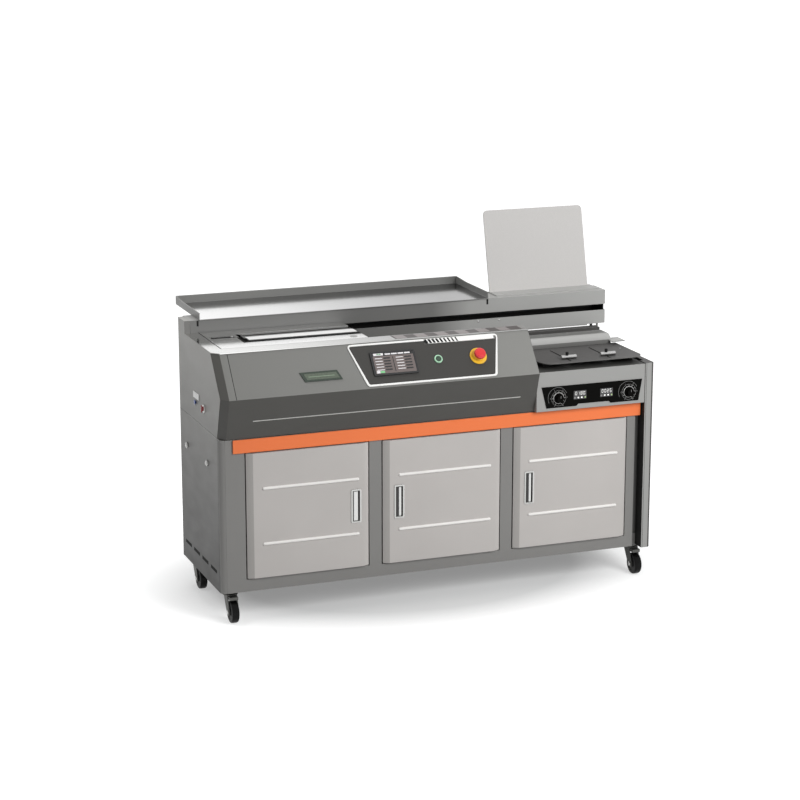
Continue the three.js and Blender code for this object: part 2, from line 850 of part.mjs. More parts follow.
function deckBody() {
  const z0 = deck.top - deck.sheet;
  const c = console_.chamfer;
  const plan = [
    [0, beam.front - seam],
    [0, deck.front + c],
    [c, deck.front],
    [console_.length, deck.front],
    [console_.length, deck.seamY],
    [deck.seamX, deck.seamY],
    [deck.seamX, beam.front - seam],
  ];
  const plate = alongZ(plan, z0, deck.top);
  const low = deck.top - deck.skirt;
  const skirtFront = block(
    deck.seamX - deck.sheet, console_.length, deck.seamY - deck.sheet, deck.seamY, low, deck.top,
  );
  const skirtLeft = block(
    deck.seamX - deck.sheet, deck.seamX, deck.seamY - deck.sheet, beam.front - seam, low, deck.top,
  );
  const y0 = console_.back + seam;
  const end = alongX(
    [
      [y0, deck.endBottom],
      [beam.front - seam, deck.endBottom],
      [beam.front - seam, deck.endTop],
      [deck.seamY, deck.endTop],
      [deck.seamY, deck.top],
      [y0, deck.top],
    ],
    console_.length - deck.sheet,
    console_.length,
  );
  return join(plate, skirtFront, skirtLeft, end);
}

function workPlate() {
  return block(
    cabinet.side + seam, console_.length - deck.sheet - seam, console_.back + seam,
    cabinet.depth - cabinet.rear - seam, work.top - work.sheet, work.top,
  );
}

function beamBody() {
  const { front, back, bottom, top, wall, right } = beam;
  const x0 = cabinet.side + seam;
  const tube = cut(
    block(x0, right, front, back, bottom, top),
    block(x0 - overrun, right - wall, front + wall, back - wall, bottom + wall, top - wall),
    block(
      beam.slotLeft, right + overrun, front - overrun, front + wall + overrun, beam.slotBottom, beam.slotTop,
    ),
  );
  const posts = [
    rod('z', beam.postRadius, housing.top + seam, bottom + wall / 2, beam.postX, beam.postY, 16),
    rod('z', beam.post2Radius, column.top + seam, bottom + wall / 2, beam.post2X, beam.postY, 16),
  ];
  const h = holder;
  const strip = join(
    block(rest.left, h.right, h.front, h.back, top - wall / 2, top + h.height),
    block(
      rest.left + h.lipThick, rest.right - h.lipThick, h.back - h.lipThick, h.back, top - wall / 2,
      top + h.lip,
    ),
  );
  return join(tube, ...posts, cut(strip, leaned(restBody(seam))));
}

// The rest plate stands in its groove and leans back about its lower edge
function leaned(body) {
  return body.rotate([-rest.lean, 0, 0]).translate([0, rest.y, rest.foot]);
}

function restBody(grown) {
  const points = [
    [rest.left - grown, -grown],
    [rest.right + grown, -grown],
    [rest.right + grown, rest.height - rest.corner],
    [rest.right - rest.corner, rest.height],
    [rest.left + rest.corner, rest.height],
    [rest.left - grown, rest.height - rest.corner],
  ];
  if (!grown) {
    const round = [];
    const steps = 6;
    const top = rest.height - rest.corner;
    round.push([rest.left, 0], [rest.right, 0]);
    for (const [cx, from] of [[rest.right - rest.corner, 0], [rest.left + rest.corner, Math.PI / 2]]) {
      for (let i = 0; i <= steps; i += 1) {
        const angle = from + (i / steps) * (Math.PI / 2);
        round.push([cx + rest.corner * Math.cos(angle), top + rest.corner * Math.sin(angle)]);
      }
    }
    return alongY(round, -rest.thick / 2, rest.thick / 2);
  }
  return alongY(points, -rest.thick / 2 - grown, rest.thick / 2 + grown);
}

function trayBody() {
  const { left, right, front, back, sheet } = tray;
  const z0 = beam.top + seam;
  const side = [
    [front, z0],
    [back, z0],
    [back, z0 + tray.rear],
    [back - sheet, z0 + tray.rear],
    [back - tray.rise, z0 + tray.side],
    [front, z0 + tray.side],
  ];
  return join(
    block(left, right, front, back, z0, z0 + sheet),
    block(left, right, back - sheet, back, z0, z0 + tray.rear),
    alongX(side, left, left + sheet),
    alongX(side, right - sheet, right),
  );
}

function bracketBody() {
  const y0 = beam.back + seam;
  const y1 = y0 + bracket.sheet;
  const z1 = beam.top;
  const x0 = tray.left + bracket.inset;
  const x1 = tray.right - bracket.inset;
  const pieces = [block(x0, x1, y0, y1, bracket.low, z1)];
  for (let i = 0; i < bracket.count; i += 1) {
    const x = x0 + ((x1 - x0 - bracket.thick) * i) / (bracket.count - 1);
    pieces.push(alongX(
      [[y0, bracket.low], [y0 + bracket.reach, z1 - bracket.toe], [y0 + bracket.reach, z1], [y0, z1]],
      x, x + bracket.thick,
    ));
  }
  return join(...pieces);
}

function carriageBody() {
  const c = carriage;
  const top = deck.top;
  const z0 = top - c.sheet;
  const plan = [
    [c.left, c.front],
    [c.right, c.front],
    [c.right, c.openFront],
    [c.openLeft, c.openFront],
    [c.openLeft, c.jawLine],
    [c.right, c.jawLine],
    [c.right, c.back],
    [c.left, c.back],
  ];
  const plate = cut(
    alongZ(plan, z0, top),
    block(c.slotLeft, c.slotRight, c.slotFront, c.slotBack, z0 - overrun, top + overrun),
  );
  const apronPlate = block(c.left, c.right, c.front, c.front + c.flange, c.bottom, top);
  const rear = block(c.rearJawLeft, c.right, c.jawLine, c.rearJawBack, c.bottom, top);
  const rods = [c.rodLeft, c.rodRight].map((x) =>
    block(x, x + c.rodWidth, c.front, c.jawLine + c.flange, c.bottom, c.bottom + c.rodHeight - seam));
  const arm = block(
    c.armLeft, c.armRight, c.rearJawBack - c.flange, railFront() - seam, c.armBottom, c.armTop,
  );
  const leftPlate = block(c.left, c.left + c.flange, c.front, c.rearJawBack, z0 - c.flange, top);
  return join(plate, apronPlate, rear, ...rods, arm, leftPlate);
}

function railFront() {
  return beam.back - beam.wall - seam - rail.depth;
}

function jawBody() {
  const top = deck.top - carriage.sheet - seam;
  return alongX(
    [
      [jaw.front, jaw.bottom],
      [jaw.back, jaw.bottom],
      [jaw.back, top - jaw.step],
      [jaw.barBack, top - jaw.step],
      [jaw.barBack, top],
      [jaw.front, top],
    ],
    jaw.left,
    jaw.right,
  );
}

function railBody() {
  const y0 = railFront();
  return block(rail.left, rail.right, y0, y0 + rail.depth, rail.low, rail.high);
}

function housingBody() {
  const { left, front, bottom, top, wall } = housing;
  const right = column.left - seam;
  const back = cabinet.depth - cabinet.rear - seam;
  return cut(
    block(left, right, front, back, bottom, top),
    block(left + wall, right - wall, front + wall, back + overrun, bottom + wall, top - wall),
  );
}

function knobPanel() {
  const k = knobs;
  const y1 = housing.front - seam;
  return alongY(
    [
      [k.bottomLeft, k.low],
      [k.notchLeft, k.low],
      [k.notchLeft + k.notch, k.low + k.notch],
      [k.notchRight - k.notch, k.low + k.notch],
      [k.notchRight, k.low],
      [k.bottomRight, k.low],
      [k.topRight, k.high],
      [k.topLeft, k.high],
    ],
    y1 - k.sheet,
    y1,
  );
}

const knobFace = housing.front - seam - knobs.sheet - seam;

function dialBody() {
  const r = dial.skirt;
  const body = turned([
    [0, 0],
    [r, 0],
    [r, dial.skirtHeight],
    [dial.grip, dial.skirtHeight],
    [dial.grip, dial.height],
    [0, dial.height],
  ]);
  const mark = block(
    -dial.pointer / 2, dial.pointer / 2, 0, dial.pointerLength, dial.skirtHeight,
    dial.height + dial.pointer / 2,
  );
  return faceted(join(body, mark));
}

function readoutBody(x0) {
  const y1 = knobFace;
  const plate = block(x0, x0 + readout.width, y1 - readout.sheet, y1, readout.low, readout.high);
  const first = x0 + (readout.width - (readout.lamps - 1) * readout.lampPitch) / 2;
  const lamps = [];
  for (let i = 0; i < readout.lamps; i += 1) {
    lamps.push(rod(
      'y', readout.lampRadius, y1 - readout.sheet - readout.lampProud, y1 - readout.sheet / 2,
      first + i * readout.lampPitch, readout.lampZ, 12,
    ));
  }
  return join(plate, ...lamps);
}

function tableBody() {
  const t = table;
  const plan = [[t.right, t.back], [t.left, t.back]];
  const steps = 6;
  for (const [cx, from] of [[t.left + t.corner, Math.PI], [t.right - t.corner, Math.PI * 1.5]]) {
    for (let i = 0; i <= steps; i += 1) {
      const angle = from + (i / steps) * (Math.PI / 2);
      plan.push([cx + t.corner * Math.cos(angle), t.front + t.corner + t.corner * Math.sin(angle)]);
    }
  }
  const z0 = t.top - t.sheet;
  const sheet = alongZ(plan, z0, t.top);
  const half = t.slotWidth / 2;
  const slots = [t.slotA, t.slotB].map((x) =>
    alongZ(roundedRect(x - half, x + half, t.slotFront, t.slotBack, half), z0 - overrun, t.top + overrun));
  const feet = [t.left + t.footInset, t.right - t.footInset - t.foot].map((x) =>
    block(x, x + t.foot, t.footFront, t.back - t.foot, housing.top + seam, z0 + t.sheet / 2));
  return join(cut(sheet, ...slots), ...feet);
}

// Stop: a round bar across the table with a stud that reaches down through the slot
function stopBody(x) {
  const g = guide;
  const zc = table.top + seam + g.radius;
  const bar = rod('x', g.radius, x - g.leftOf, x + g.rightOf, g.y, zc, 20);
  const stud = rod('z', g.neck, housing.top + g.clear, zc, x, g.y, 16);
  const bore = rod('z', g.pinRadius + seam, zc, zc + g.radius + overrun, x, g.y, 16);
  return cut(join(bar, stud), bore);
}

function screwBody(x) {
  const g = guide;
  const zc = table.top + seam + g.radius;
  const top = table.top + g.pinRise;
  return join(
    rod('z', g.pinRadius, zc + seam, top, x, g.y, 16),
    rod('z', g.screwHead, top - g.screwHeadHeight, top, x, g.y, 16),
  );
}

// Quarter round from a vertical front to a level top, as (y, z) points
function bendPoints(y, z, radius, steps = 6) {
  const points = [];
  for (let i = 0; i <= steps; i += 1) {
    const angle = Math.PI - (i / steps) * (Math.PI / 2);
    points.push([y + radius * Math.cos(angle), z + radius * Math.sin(angle)]);
  }
  return points;
}

function frontNip() {
  const a = apron;
  const t = a.sheet;
  const z0 = table.top + seam;
  const yc = a.front + a.bend;
  const zc = a.top - a.bend;
  const outer = bendPoints(yc, zc, a.bend);
  const inner = bendPoints(yc, zc, a.bend - t).reverse();
  const hood = alongX(
    [[a.front, z0], ...outer, [a.back, a.top], [a.back, a.top - t], ...inner, [a.front + t, z0]],
    a.left,
    a.right,
  );
  const feet = [a.footLeft, a.footRight - a.foot].map((x) =>
    block(x, x + a.foot, a.footFront, a.back - t / 2, housing.top + seam, a.top - t / 2));
  const edge = block(a.left, a.right, a.back - t, a.back, z0, a.top - t / 2);
  const tab = block(a.tabLeft, a.tabRight, a.tabFront, a.tabBack, a.tabTop - t, a.tabTop);
  return join(hood, edge, ...feet, tab);
}

function rearNip() {
  const n = nip;
  const z0 = table.top + seam;
  const feet = [n.left + n.footInset, n.right - n.footInset - n.foot].map((x) =>
    block(x, x + n.foot, n.front, n.back, housing.top + seam, n.top - n.sheet / 2));
  return join(
    block(n.left, n.right, n.front, n.front + n.sheet, z0, n.top),
    block(n.left, n.right, n.front, n.back, n.top - n.sheet, n.top),
    ...feet,
  );
}

function forkBody() {
  const c = castor;
  const gapHalf = c.wheelWidth / 2 + c.forkGap;
  const outer = gapHalf + c.forkWall;
  const top = c.forkTop;
  const low = top - c.forkWall;
  const disc = rod('z', c.forkDisc, low, top, 0, 0, 28);
  const bore = rod('z', c.pivot, low - overrun, top + overrun, 0, 0, 20);
  const plate = block(-outer, outer, -c.legBase, c.legBase, low, top);
  const legs = [];
  for (const x of [-outer, gapHalf]) {
    legs.push(alongX(
      [
        [c.legBase, top],
        [-c.legBase, top],
        [-c.trail - c.legTip, c.wheelRadius + c.legTip / 2],
        [-c.trail - c.legTip, c.wheelRadius - c.legTip],
        [-c.trail + c.legTip, c.wheelRadius - c.legTip],
      ],
      x, x + c.forkWall,
    ));
  }
  const axleHole = rod('x', c.axle + seam, -outer - overrun, outer + overrun, -c.trail, c.wheelRadius, 20);
  return faceted(cut(join(disc, plate, ...legs), axleHole, bore));
}

function wheelBody() {
  const c = castor;
  const half = c.wheelWidth / 2;
  const out = half + c.forkGap + c.forkWall + c.axleOut;
  const r = c.wheelRadius;
  const tyre = new THREE.LatheGeometry(
    [
      [0, -out],
      [c.axle, -out],
      [c.axle, -half],
      [c.hub, -half],
      [r - c.crown, -half],
      [r, -half + c.crown],
      [r, half - c.crown],
      [r - c.crown, half],
      [c.hub, half],
      [c.axle, half],
      [c.axle, out],
      [0, out],
    ].map(([a, b]) => new THREE.Vector2(a, b)),
    40,
  );
  tyre.rotateZ(-Math.PI / 2);
  return faceted(solid(tyre));
}

function tankBody() {
  const t = tank;
  const z0 = work.top + seam;
  const shell = cut(
    block(t.left, t.right, t.front, t.back, z0, t.top),
    block(
      t.left + t.wall, t.right - t.wall, t.front + t.wall, t.back - t.wall, z0 + t.floor, t.top + overrun,
    ),
  );
  const y0 = t.front - overrun;
  const y1 = t.back + overrun;
  const bore = rod('y', roller.axle + seam, y0, y1, roller.x, roller.z, 20);
  const entry = block(
    roller.x - roller.axle - seam, roller.x + roller.axle + seam, y0, y1, roller.z, t.top + overrun,
  );
  return cut(shell, bore, entry);
}

function rollerBody() {
  const half = roller.length / 2;
  const y0 = tank.front;
  const y1 = tank.back;
  const geometry = faceted(join(
    rod('y', roller.radius, -half, half, 0, 0, 36),
    rod('y', roller.axle, y0 - carriage.jawLine, y1 - carriage.jawLine, 0, 0, 20),
  ));
  return geometry;
}

function millMotor() {
  return cut(
    rod('z', mill.motorRadius, work.top + seam, mill.motorTop, mill.x, carriage.jawLine, 32),
    rod(
      'z', mill.bore, mill.motorTop - mill.spindleDepth, mill.motorTop + overrun, mill.x,
      carriage.jawLine, 20,
    ),
  );
}

function millDisc() {
  const bottom = mill.motorTop - mill.spindleDepth + seam;
  return faceted(turned([
    [0, bottom],
    [mill.spindle, bottom],
    [mill.spindle, mill.discLow],
    [mill.disc, mill.discLow],
    [mill.disc, mill.discHigh],
    [0, mill.discHigh],
  ], 36));
}

// Cabinet
place('base_pan', basePan(), paint(grey));
place('left_side_panel', leftSide(), paint(grey));
place('right_side_panel', rightSide(), paint(lightGrey));
place('rear_panel', rearPanel(), paint(grey));
place('front_frame', frontFrame(), paint(grey));
place('accent_band', block(
  band.left, band.right, -band.thick, -seam, band.bottom, band.top,
), paint(orange, 0.4, 0));
doorSides.forEach((side, i) => {
  place(`door_${side}`, doorBody(i), paint(lightGrey));
  place(`door_pull_${side}`, pullBody(i), paint(lightGrey, 0.3, 0.6));
});

// Console and its controls, which lie on the upper face: x across, y up the slope, z out of it
place('console_shell', consoleShell(), paint(dark));
const slope = new THREE.Group();
slope.position.set(0, console_.kneeFront, console_.knee);
slope.rotation.x = Math.atan2(console_.top - console_.knee, console_.topFront - console_.kneeFront);
machine.add(slope);

function panelOutline(inset, radius) {
  const p = panel;
  return rounded([
    [p.bottomLeft + inset, p.low + inset],
    [p.bottomRight - inset, p.low + inset],
    [p.topRight - inset, p.high - inset],
    [p.topLeft + inset, p.high - inset],
  ], radius);
}
const edge = panel.trim + seam;
const trimRing = join(
  cut(
    alongZ(panelOutline(0, panel.corner), seam, panel.trimProud),
    alongZ(panelOutline(panel.trim, panel.corner - panel.trim), -overrun, panel.trimProud + overrun),
  ),
  alongZ([
    [panel.thickFrom, panel.high - panel.trim / 2],
    [panel.thickFrom + panel.thickTrim - panel.trim, panel.high - panel.thickTrim],
    [panel.topRight - panel.thickTrim, panel.high - panel.thickTrim],
    [panel.topRight - panel.thickTrim, panel.high - panel.trim / 2],
  ], seam, panel.trimProud),
);
const panelPlate = cut(
  alongZ(panelOutline(edge, panel.corner - panel.trim), seam, seam + panel.sheet),
  block(
    panel.thickFrom - seam, panel.topRight + overrun, panel.high - panel.thickTrim - seam,
    panel.high + overrun,
    -overrun, panel.trimProud + overrun,
  ),
);
place('control_trim', trimRing, paint(0xe4e4e2, 0.4, 0), slope);
place('control_panel', panelPlate, paint(dark), slope);
const onPanel = seam + panel.sheet + seam;
place('touch_screen', alongZ(
  roundedRect(screen.left, screen.right, screen.low, screen.high, screen.corner), onPanel,
  onPanel + screen.thick,
), paint(black, 0.2, 0), slope);
place('status_window', alongZ([
  [lcd.left + lcd.slant, lcd.low],
  [lcd.right + lcd.slant, lcd.low],
  [lcd.right, lcd.high],
  [lcd.left, lcd.high],
], seam, seam + lcd.thick), paint(0x3d5a34, 0.25, 0), slope);

place('start_bezel', moved(turned([
  [start.button + seam, 0],
  [start.bezel, 0],
  [start.bezel, start.bezelHeight - start.lip],
  [start.bezel - start.lip, start.bezelHeight],
  [start.button + seam, start.bezelHeight],
  [start.button + seam, 0],
]), start.x, start.v, onPanel), paint(0x2fae55, 0.3, 0.2), slope);
const buttonLow = start.travel + seam;
place('start_button', moved(turned([
  [0, buttonLow],
  [start.button, buttonLow],
  [start.button, start.bezelHeight + start.lip],
  [0, start.bezelHeight + start.lip],
]), start.x, start.v, onPanel), paint(0x2b3d30, 0.35, 0), slope);

place('estop_collar', moved(turned([
  [stop.stem + seam, 0],
  [stop.collar, 0],
  [stop.collar, stop.plate],
  [stop.sleeve, stop.plate],
  [stop.sleeve, stop.sleeveTop],
  [stop.stem + seam, stop.sleeveTop],
  [stop.stem + seam, 0],
], 40), stop.x, stop.v, onPanel), paint(0xf1c21b, 0.4, 0), slope);
const stemLow = stop.travel + seam;
place('estop_button', moved(turned([
  [0, stemLow],
  [stop.stem, stemLow],
  [stop.stem, stop.headLow],
  [stop.head, stop.headLow],
  [stop.head, (stop.headLow + stop.headHigh) / 2],
  [stop.head * Math.cos(Math.PI / 6), stop.headHigh - stop.rimDrop],
  [0, stop.headHigh],
], 40), stop.x, stop.v, onPanel), paint(0xd8281e, 0.3, 0), slope);

// Deck, clamp and beam
place('top_deck', deckBody(), paint(0xd9d9d7));
place('work_plate', workPlate(), paint(grey));
place('clamp_carriage', carriageBody(), paint(0xd2d2d0, 0.35, 0.5));
place('clamp_jaw', jawBody(), paint(0xe6e6e4, 0.3, 0.6));
place('rear_beam', beamBody(), paint(lightGrey));
place('guide_rail', railBody(), paint(black, 0.3, 0.6));
place('book_tray', trayBody(), paint(0xc9c9c7, 0.35, 0.6));
place('tray_bracket', bracketBody(), paint(grey));
place('rest_plate', leaned(restBody(0)), paint(0xd6d5d3, 0.6, 0));

// Glue and milling stations under the clamp's path
place('glue_tank', tankBody(), paint(0x9a9a98, 0.4, 0.7));
const rollerMesh = place('glue_roller', rollerBody(), paint(0xc0a46a, 0.5, 0.5));
rollerMesh.position.set(roller.x, carriage.jawLine, roller.z);
place('milling_motor', millMotor(), paint(dark));
const disc = place('milling_disc', millDisc(), paint(0xb8b8b8, 0.3, 0.9));
disc.position.set(mill.x, carriage.jawLine, 0);

// Cover station
place('station_housing', housingBody(), paint(lightGrey));
place('knob_panel', knobPanel(), paint(black, 0.35, 0));
[['left', dial.leftX], ['right', dial.rightX]].forEach(([side, x]) => {
  const mesh = place(`dial_${side}`, dialBody(), paint(black, 0.4, 0));
  mesh.position.set(x, knobFace, dial.z);
  mesh.rotation.x = Math.PI / 2;
});
place('readout_left', readoutBody(readout.leftX), paint(black, 0.2, 0));
place('readout_right', readoutBody(readout.rightX), paint(black, 0.2, 0));
place('cover_table', tableBody(), paint(0x6f6f6d));
[['left', table.slotA], ['right', table.slotB]].forEach(([side, x]) => {
  place(`stop_bar_${side}`, stopBody(x), paint(0xd4d4d4, 0.25, 0.9));
  place(`stop_screw_${side}`, screwBody(x), paint(black));
});
place('front_nip_plate', frontNip(), paint(0xb9b9b7, 0.3, 0.7));
place('rear_nip_plate', rearNip(), paint(0x8c8c8a, 0.35, 0.6));

// Castors
const fork = forkBody();
const wheel = wheelBody();
[
  ['front_left', castor.leftX, castor.frontY],
  ['front_right', castor.rightX, castor.frontY],
  ['rear_left', castor.leftX, castor.rearY],
  ['rear_right', castor.rightX, castor.rearY],
].forEach(([where, x, y]) => {
  place(`fork_${where}`, fork, paint(0x9a9a98, 0.35, 0.7)).position.set(x, y, 0);
  place(`wheel_${where}`, wheel, paint(black, 0.7, 0)).position.set(x, y - castor.trail, castor.wheelRadius);
});

// Small pieces on the left side
place('side_plate', block(
  -sidePlate.thick - seam, -seam, sidePlate.front, sidePlate.back, sidePlate.low, sidePlate.high,
), paint(0xececea, 0.5, 0));
place('side_button', join(
  rod('x', blue.radius, -blue.out, -blue.travel - seam, blue.y, control.z),
  rod('x', blue.stem, -blue.out, blue.depth, blue.y, control.z, 20),
), paint(0x2d55b8, 0.4, 0));
const handle = faceted(join(
  rod('x', red.base, -red.plate - seam, -seam, 0, 0, 28),
  rod('x', red.knob, -red.knobOut, -seam, 0, 0, 24),
  block(-red.knobOut - red.plate, -red.knobOut + seam, -red.plate, red.plate, -red.tail, red.tail),
));
place('main_switch', handle, paint(0xc02a22, 0.4, 0)).position.set(0, red.y, control.z);
[['front', lock.frontY], ['rear', lock.rearY]].forEach(([where, y]) => {
  const body = faceted(join(
    rod('x', lock.radius, -lock.out, -seam, 0, 0, 24),
    rod('x', lock.core, -lock.coreOut, lock.depth - seam, 0, 0, 20),
  ));
  place(`side_lock_${where}`, body, paint(0xc4c4c4, 0.25, 0.9)).position.set(0, y, lock.z);
});

// The origin is on the ground under the middle of the whole machine.
machine.updateMatrixWorld(true);
const bounds = new THREE.Box3().setFromObject(machine, true);
machine.position.set(-(bounds.min.x + bounds.max.x) / 2, -(bounds.min.y + bounds.max.y) / 2, -bounds.min.z);

export default machine;
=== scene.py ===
"""Looks of a floor-standing thermal binding machine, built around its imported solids.

Lengths are in millimetres, on the part's drawing: x from the left side, y from the door
frame's face, z from the ground. Pieces are modelled on boards, which lie on the drawing or
on one of the machine's faces, and are carried to their place when they are dressed.
"""

import json
import math

import bmesh
import bpy
from mathutils import Euler, Matrix, Vector

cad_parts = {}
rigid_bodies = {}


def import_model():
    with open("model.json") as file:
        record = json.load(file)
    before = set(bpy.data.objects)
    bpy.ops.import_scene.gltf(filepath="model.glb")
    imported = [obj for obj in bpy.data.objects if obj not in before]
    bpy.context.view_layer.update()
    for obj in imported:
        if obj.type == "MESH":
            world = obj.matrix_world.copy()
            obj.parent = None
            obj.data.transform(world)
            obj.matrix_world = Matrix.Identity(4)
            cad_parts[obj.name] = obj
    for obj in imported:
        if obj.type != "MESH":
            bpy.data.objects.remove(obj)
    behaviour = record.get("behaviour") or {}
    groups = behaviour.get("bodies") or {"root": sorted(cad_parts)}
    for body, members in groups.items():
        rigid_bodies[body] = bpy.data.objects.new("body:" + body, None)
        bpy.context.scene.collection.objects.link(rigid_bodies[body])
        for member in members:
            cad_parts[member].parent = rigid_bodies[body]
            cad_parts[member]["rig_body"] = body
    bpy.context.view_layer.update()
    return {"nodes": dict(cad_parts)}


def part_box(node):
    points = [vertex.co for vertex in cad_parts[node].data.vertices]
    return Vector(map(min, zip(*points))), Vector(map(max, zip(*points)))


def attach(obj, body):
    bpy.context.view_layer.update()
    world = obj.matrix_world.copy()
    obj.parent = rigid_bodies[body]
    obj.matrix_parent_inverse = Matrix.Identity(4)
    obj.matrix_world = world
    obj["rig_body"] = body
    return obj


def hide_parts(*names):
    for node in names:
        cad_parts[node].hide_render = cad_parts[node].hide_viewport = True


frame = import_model()

MM = 0.001
TURN = 2 * math.pi
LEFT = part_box("left_side_panel")[0].x
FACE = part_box("front_frame")[0].y

bl_info = {
    "name": "Binding Machine Looks",
    "version": (1, 0, 0),
    "blender": (4, 5, 0),
    "location": "View3D > Sidebar > Binder",
    "description": "Dresses the binding machine's solids with finished surfaces and fittings",
    "category": "Object",
}


def at(x, y, z):
    """A point of the drawing as a point of the scene."""
    return Vector((LEFT + x * MM, FACE + y * MM, z * MM))


def on_drawing(point):
    """A point of the scene on the drawing."""
    return (point - at(0, 0, 0)) / MM


def spot(face):
    """The middle of a face on the drawing."""
    return on_drawing(face.center)


def upward(face):
    """Whether a face looks up, or out of its board."""
    return face.normal.z > 0.9


def drawn(node):
    """The lowest and highest corner of a solid, on the drawing."""
    low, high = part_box(node)
    return on_drawing(low), on_drawing(high)


def middle_of(node):
    """The middle of a solid's box, on the drawing."""
    low, high = drawn(node)
    return (low + high) / 2


def board(origin, across, up):
    """A plane to model on: x runs across it, y up it and z out of it."""
    across, up = Vector(across).normalized(), Vector(up).normalized()
    turn = Matrix((across, up, across.cross(up))).transposed().to_4x4()
    return Matrix.Translation(at(*origin)) @ turn


# The console's upper face starts at its knee, and its lower face at its foot.
KNEE = 770
CONSOLE_LOW, CONSOLE_HIGH = drawn("console_shell")
CONSOLE_FOOT = drawn("accent_band")[1].y - 3.7
TOP_FRONT = drawn("top_deck")[0].y + 2.5
ON_PANEL = 2.6

ORIGIN = (0, 0, 0)
RIGHT = (1, 0, 0)
UP = (0, 0, 1)
FLAT = board(ORIGIN, RIGHT, (0, 1, 0))
FRONT = board(ORIGIN, RIGHT, UP)
SIDE = board(ORIGIN, (0, -1, 0), UP)
REAR = board((0, drawn("rear_panel")[1].y, 0), (-1, 0, 0), UP)
LOWER = board(
    (0, CONSOLE_FOOT, CONSOLE_LOW.z), RIGHT, (0, CONSOLE_LOW.y - CONSOLE_FOOT, KNEE - CONSOLE_LOW.z),
)
SLOPE = board((0, CONSOLE_LOW.y, KNEE), RIGHT, (0, TOP_FRONT - CONSOLE_LOW.y, CONSOLE_HIGH.z - KNEE))


def tone(red, green, blue):
    """A colour given as it looks on a screen, 0 to 255, as the linear values shaders take."""
    shares = (red / 255, green / 255, blue / 255)
    return tuple(s / 12.92 if s <= 0.04045 else ((s + 0.055) / 1.055) ** 2.4 for s in shares)


def colour(name, red, green, blue):
    """A colour setting of the sidebar."""
    return bpy.props.FloatVectorProperty(
        name=name, description=f"Colour of the {name.lower()}", subtype="COLOR", size=3,
        min=0, max=1, default=tone(red, green, blue),
    )


def amount(name, default, description, **more):
    """A number setting of the sidebar."""
    return bpy.props.FloatProperty(name=name, description=description, default=default, **more)


def length(name, default, description):
    """A length setting of the sidebar, kept in metres."""
    return amount(name, default * MM, description, unit="LENGTH", min=0)


class BinderColours(bpy.types.PropertyGroup):
    """The colours of the paints and metals that fill most of the picture"""
    grey: colour("Cabinet grey", 126, 125, 123)
    side: colour("Left side grey", 165, 164, 161)
    column: colour("Housing grey", 154, 154, 152)
    beam: colour("Beam grey", 166, 166, 164)
    door: colour("Door warm grey", 186, 182, 179)
    upper: colour("Upper console grey", 129, 129, 126)
    lower: colour("Lower console grey", 63, 62, 59)
    orange: colour("Orange band", 235, 121, 67)
    deck: colour("Deck steel", 236, 236, 234)
    plate: colour("Rest plate", 195, 193, 191)


class BinderSizes(bpy.types.PropertyGroup):
    """The small radii and seams that finish the sheets"""
    fold: length("Fold radius", 1.2, "Radius of the folded sheet edges")
    edge: length("Edge radius", 0.6, "Radius that breaks the edges of small pieces")
    groove: length("Seam width", 1.6, "Width of the seams between panels")


class BinderStage(bpy.types.PropertyGroup):
    """The camera's lens and the strength of the lights"""
    lens: amount("Lens", 101.3305, "Focal length of the photograph's camera, in mm")
    key: amount("Key lamp", 135, "Power of the large front lamp, in W")
    side: amount("Left lamp", 16, "Power of the lamp on the left, in W")
    top: amount("Top lamp", 46, "Power of the lamp overhead, in W")
    fill: amount("Fill light", 0.26, "Strength of the sky on the object")


# Shader wiring

MATERIALS = {}


def add_node(tree, kind, values=(), links=(), **settings):
    """A new shader node. Values and links are pairs: an input, and its value or what feeds it."""
    node = tree.nodes.new(f"ShaderNode{kind}")
    for key, value in settings.items():
        setattr(node, key, value)
    for key, value in values:
        node.inputs[key].default_value = value
    for key, source in links:
        tree.links.new(source, node.inputs[key])
    return node


def seen_by(tree, *rays):
    """1 where one of these kinds of ray arrives, and 0 for the others."""
    paths = add_node(tree, "LightPath")
    total = paths.outputs[rays[0]]
    for ray in rays[1:]:
        links = [(0, total), (1, paths.outputs[ray])]
        total = add_node(tree, "Math", links=links, operation="MAXIMUM").outputs[0]
    return total


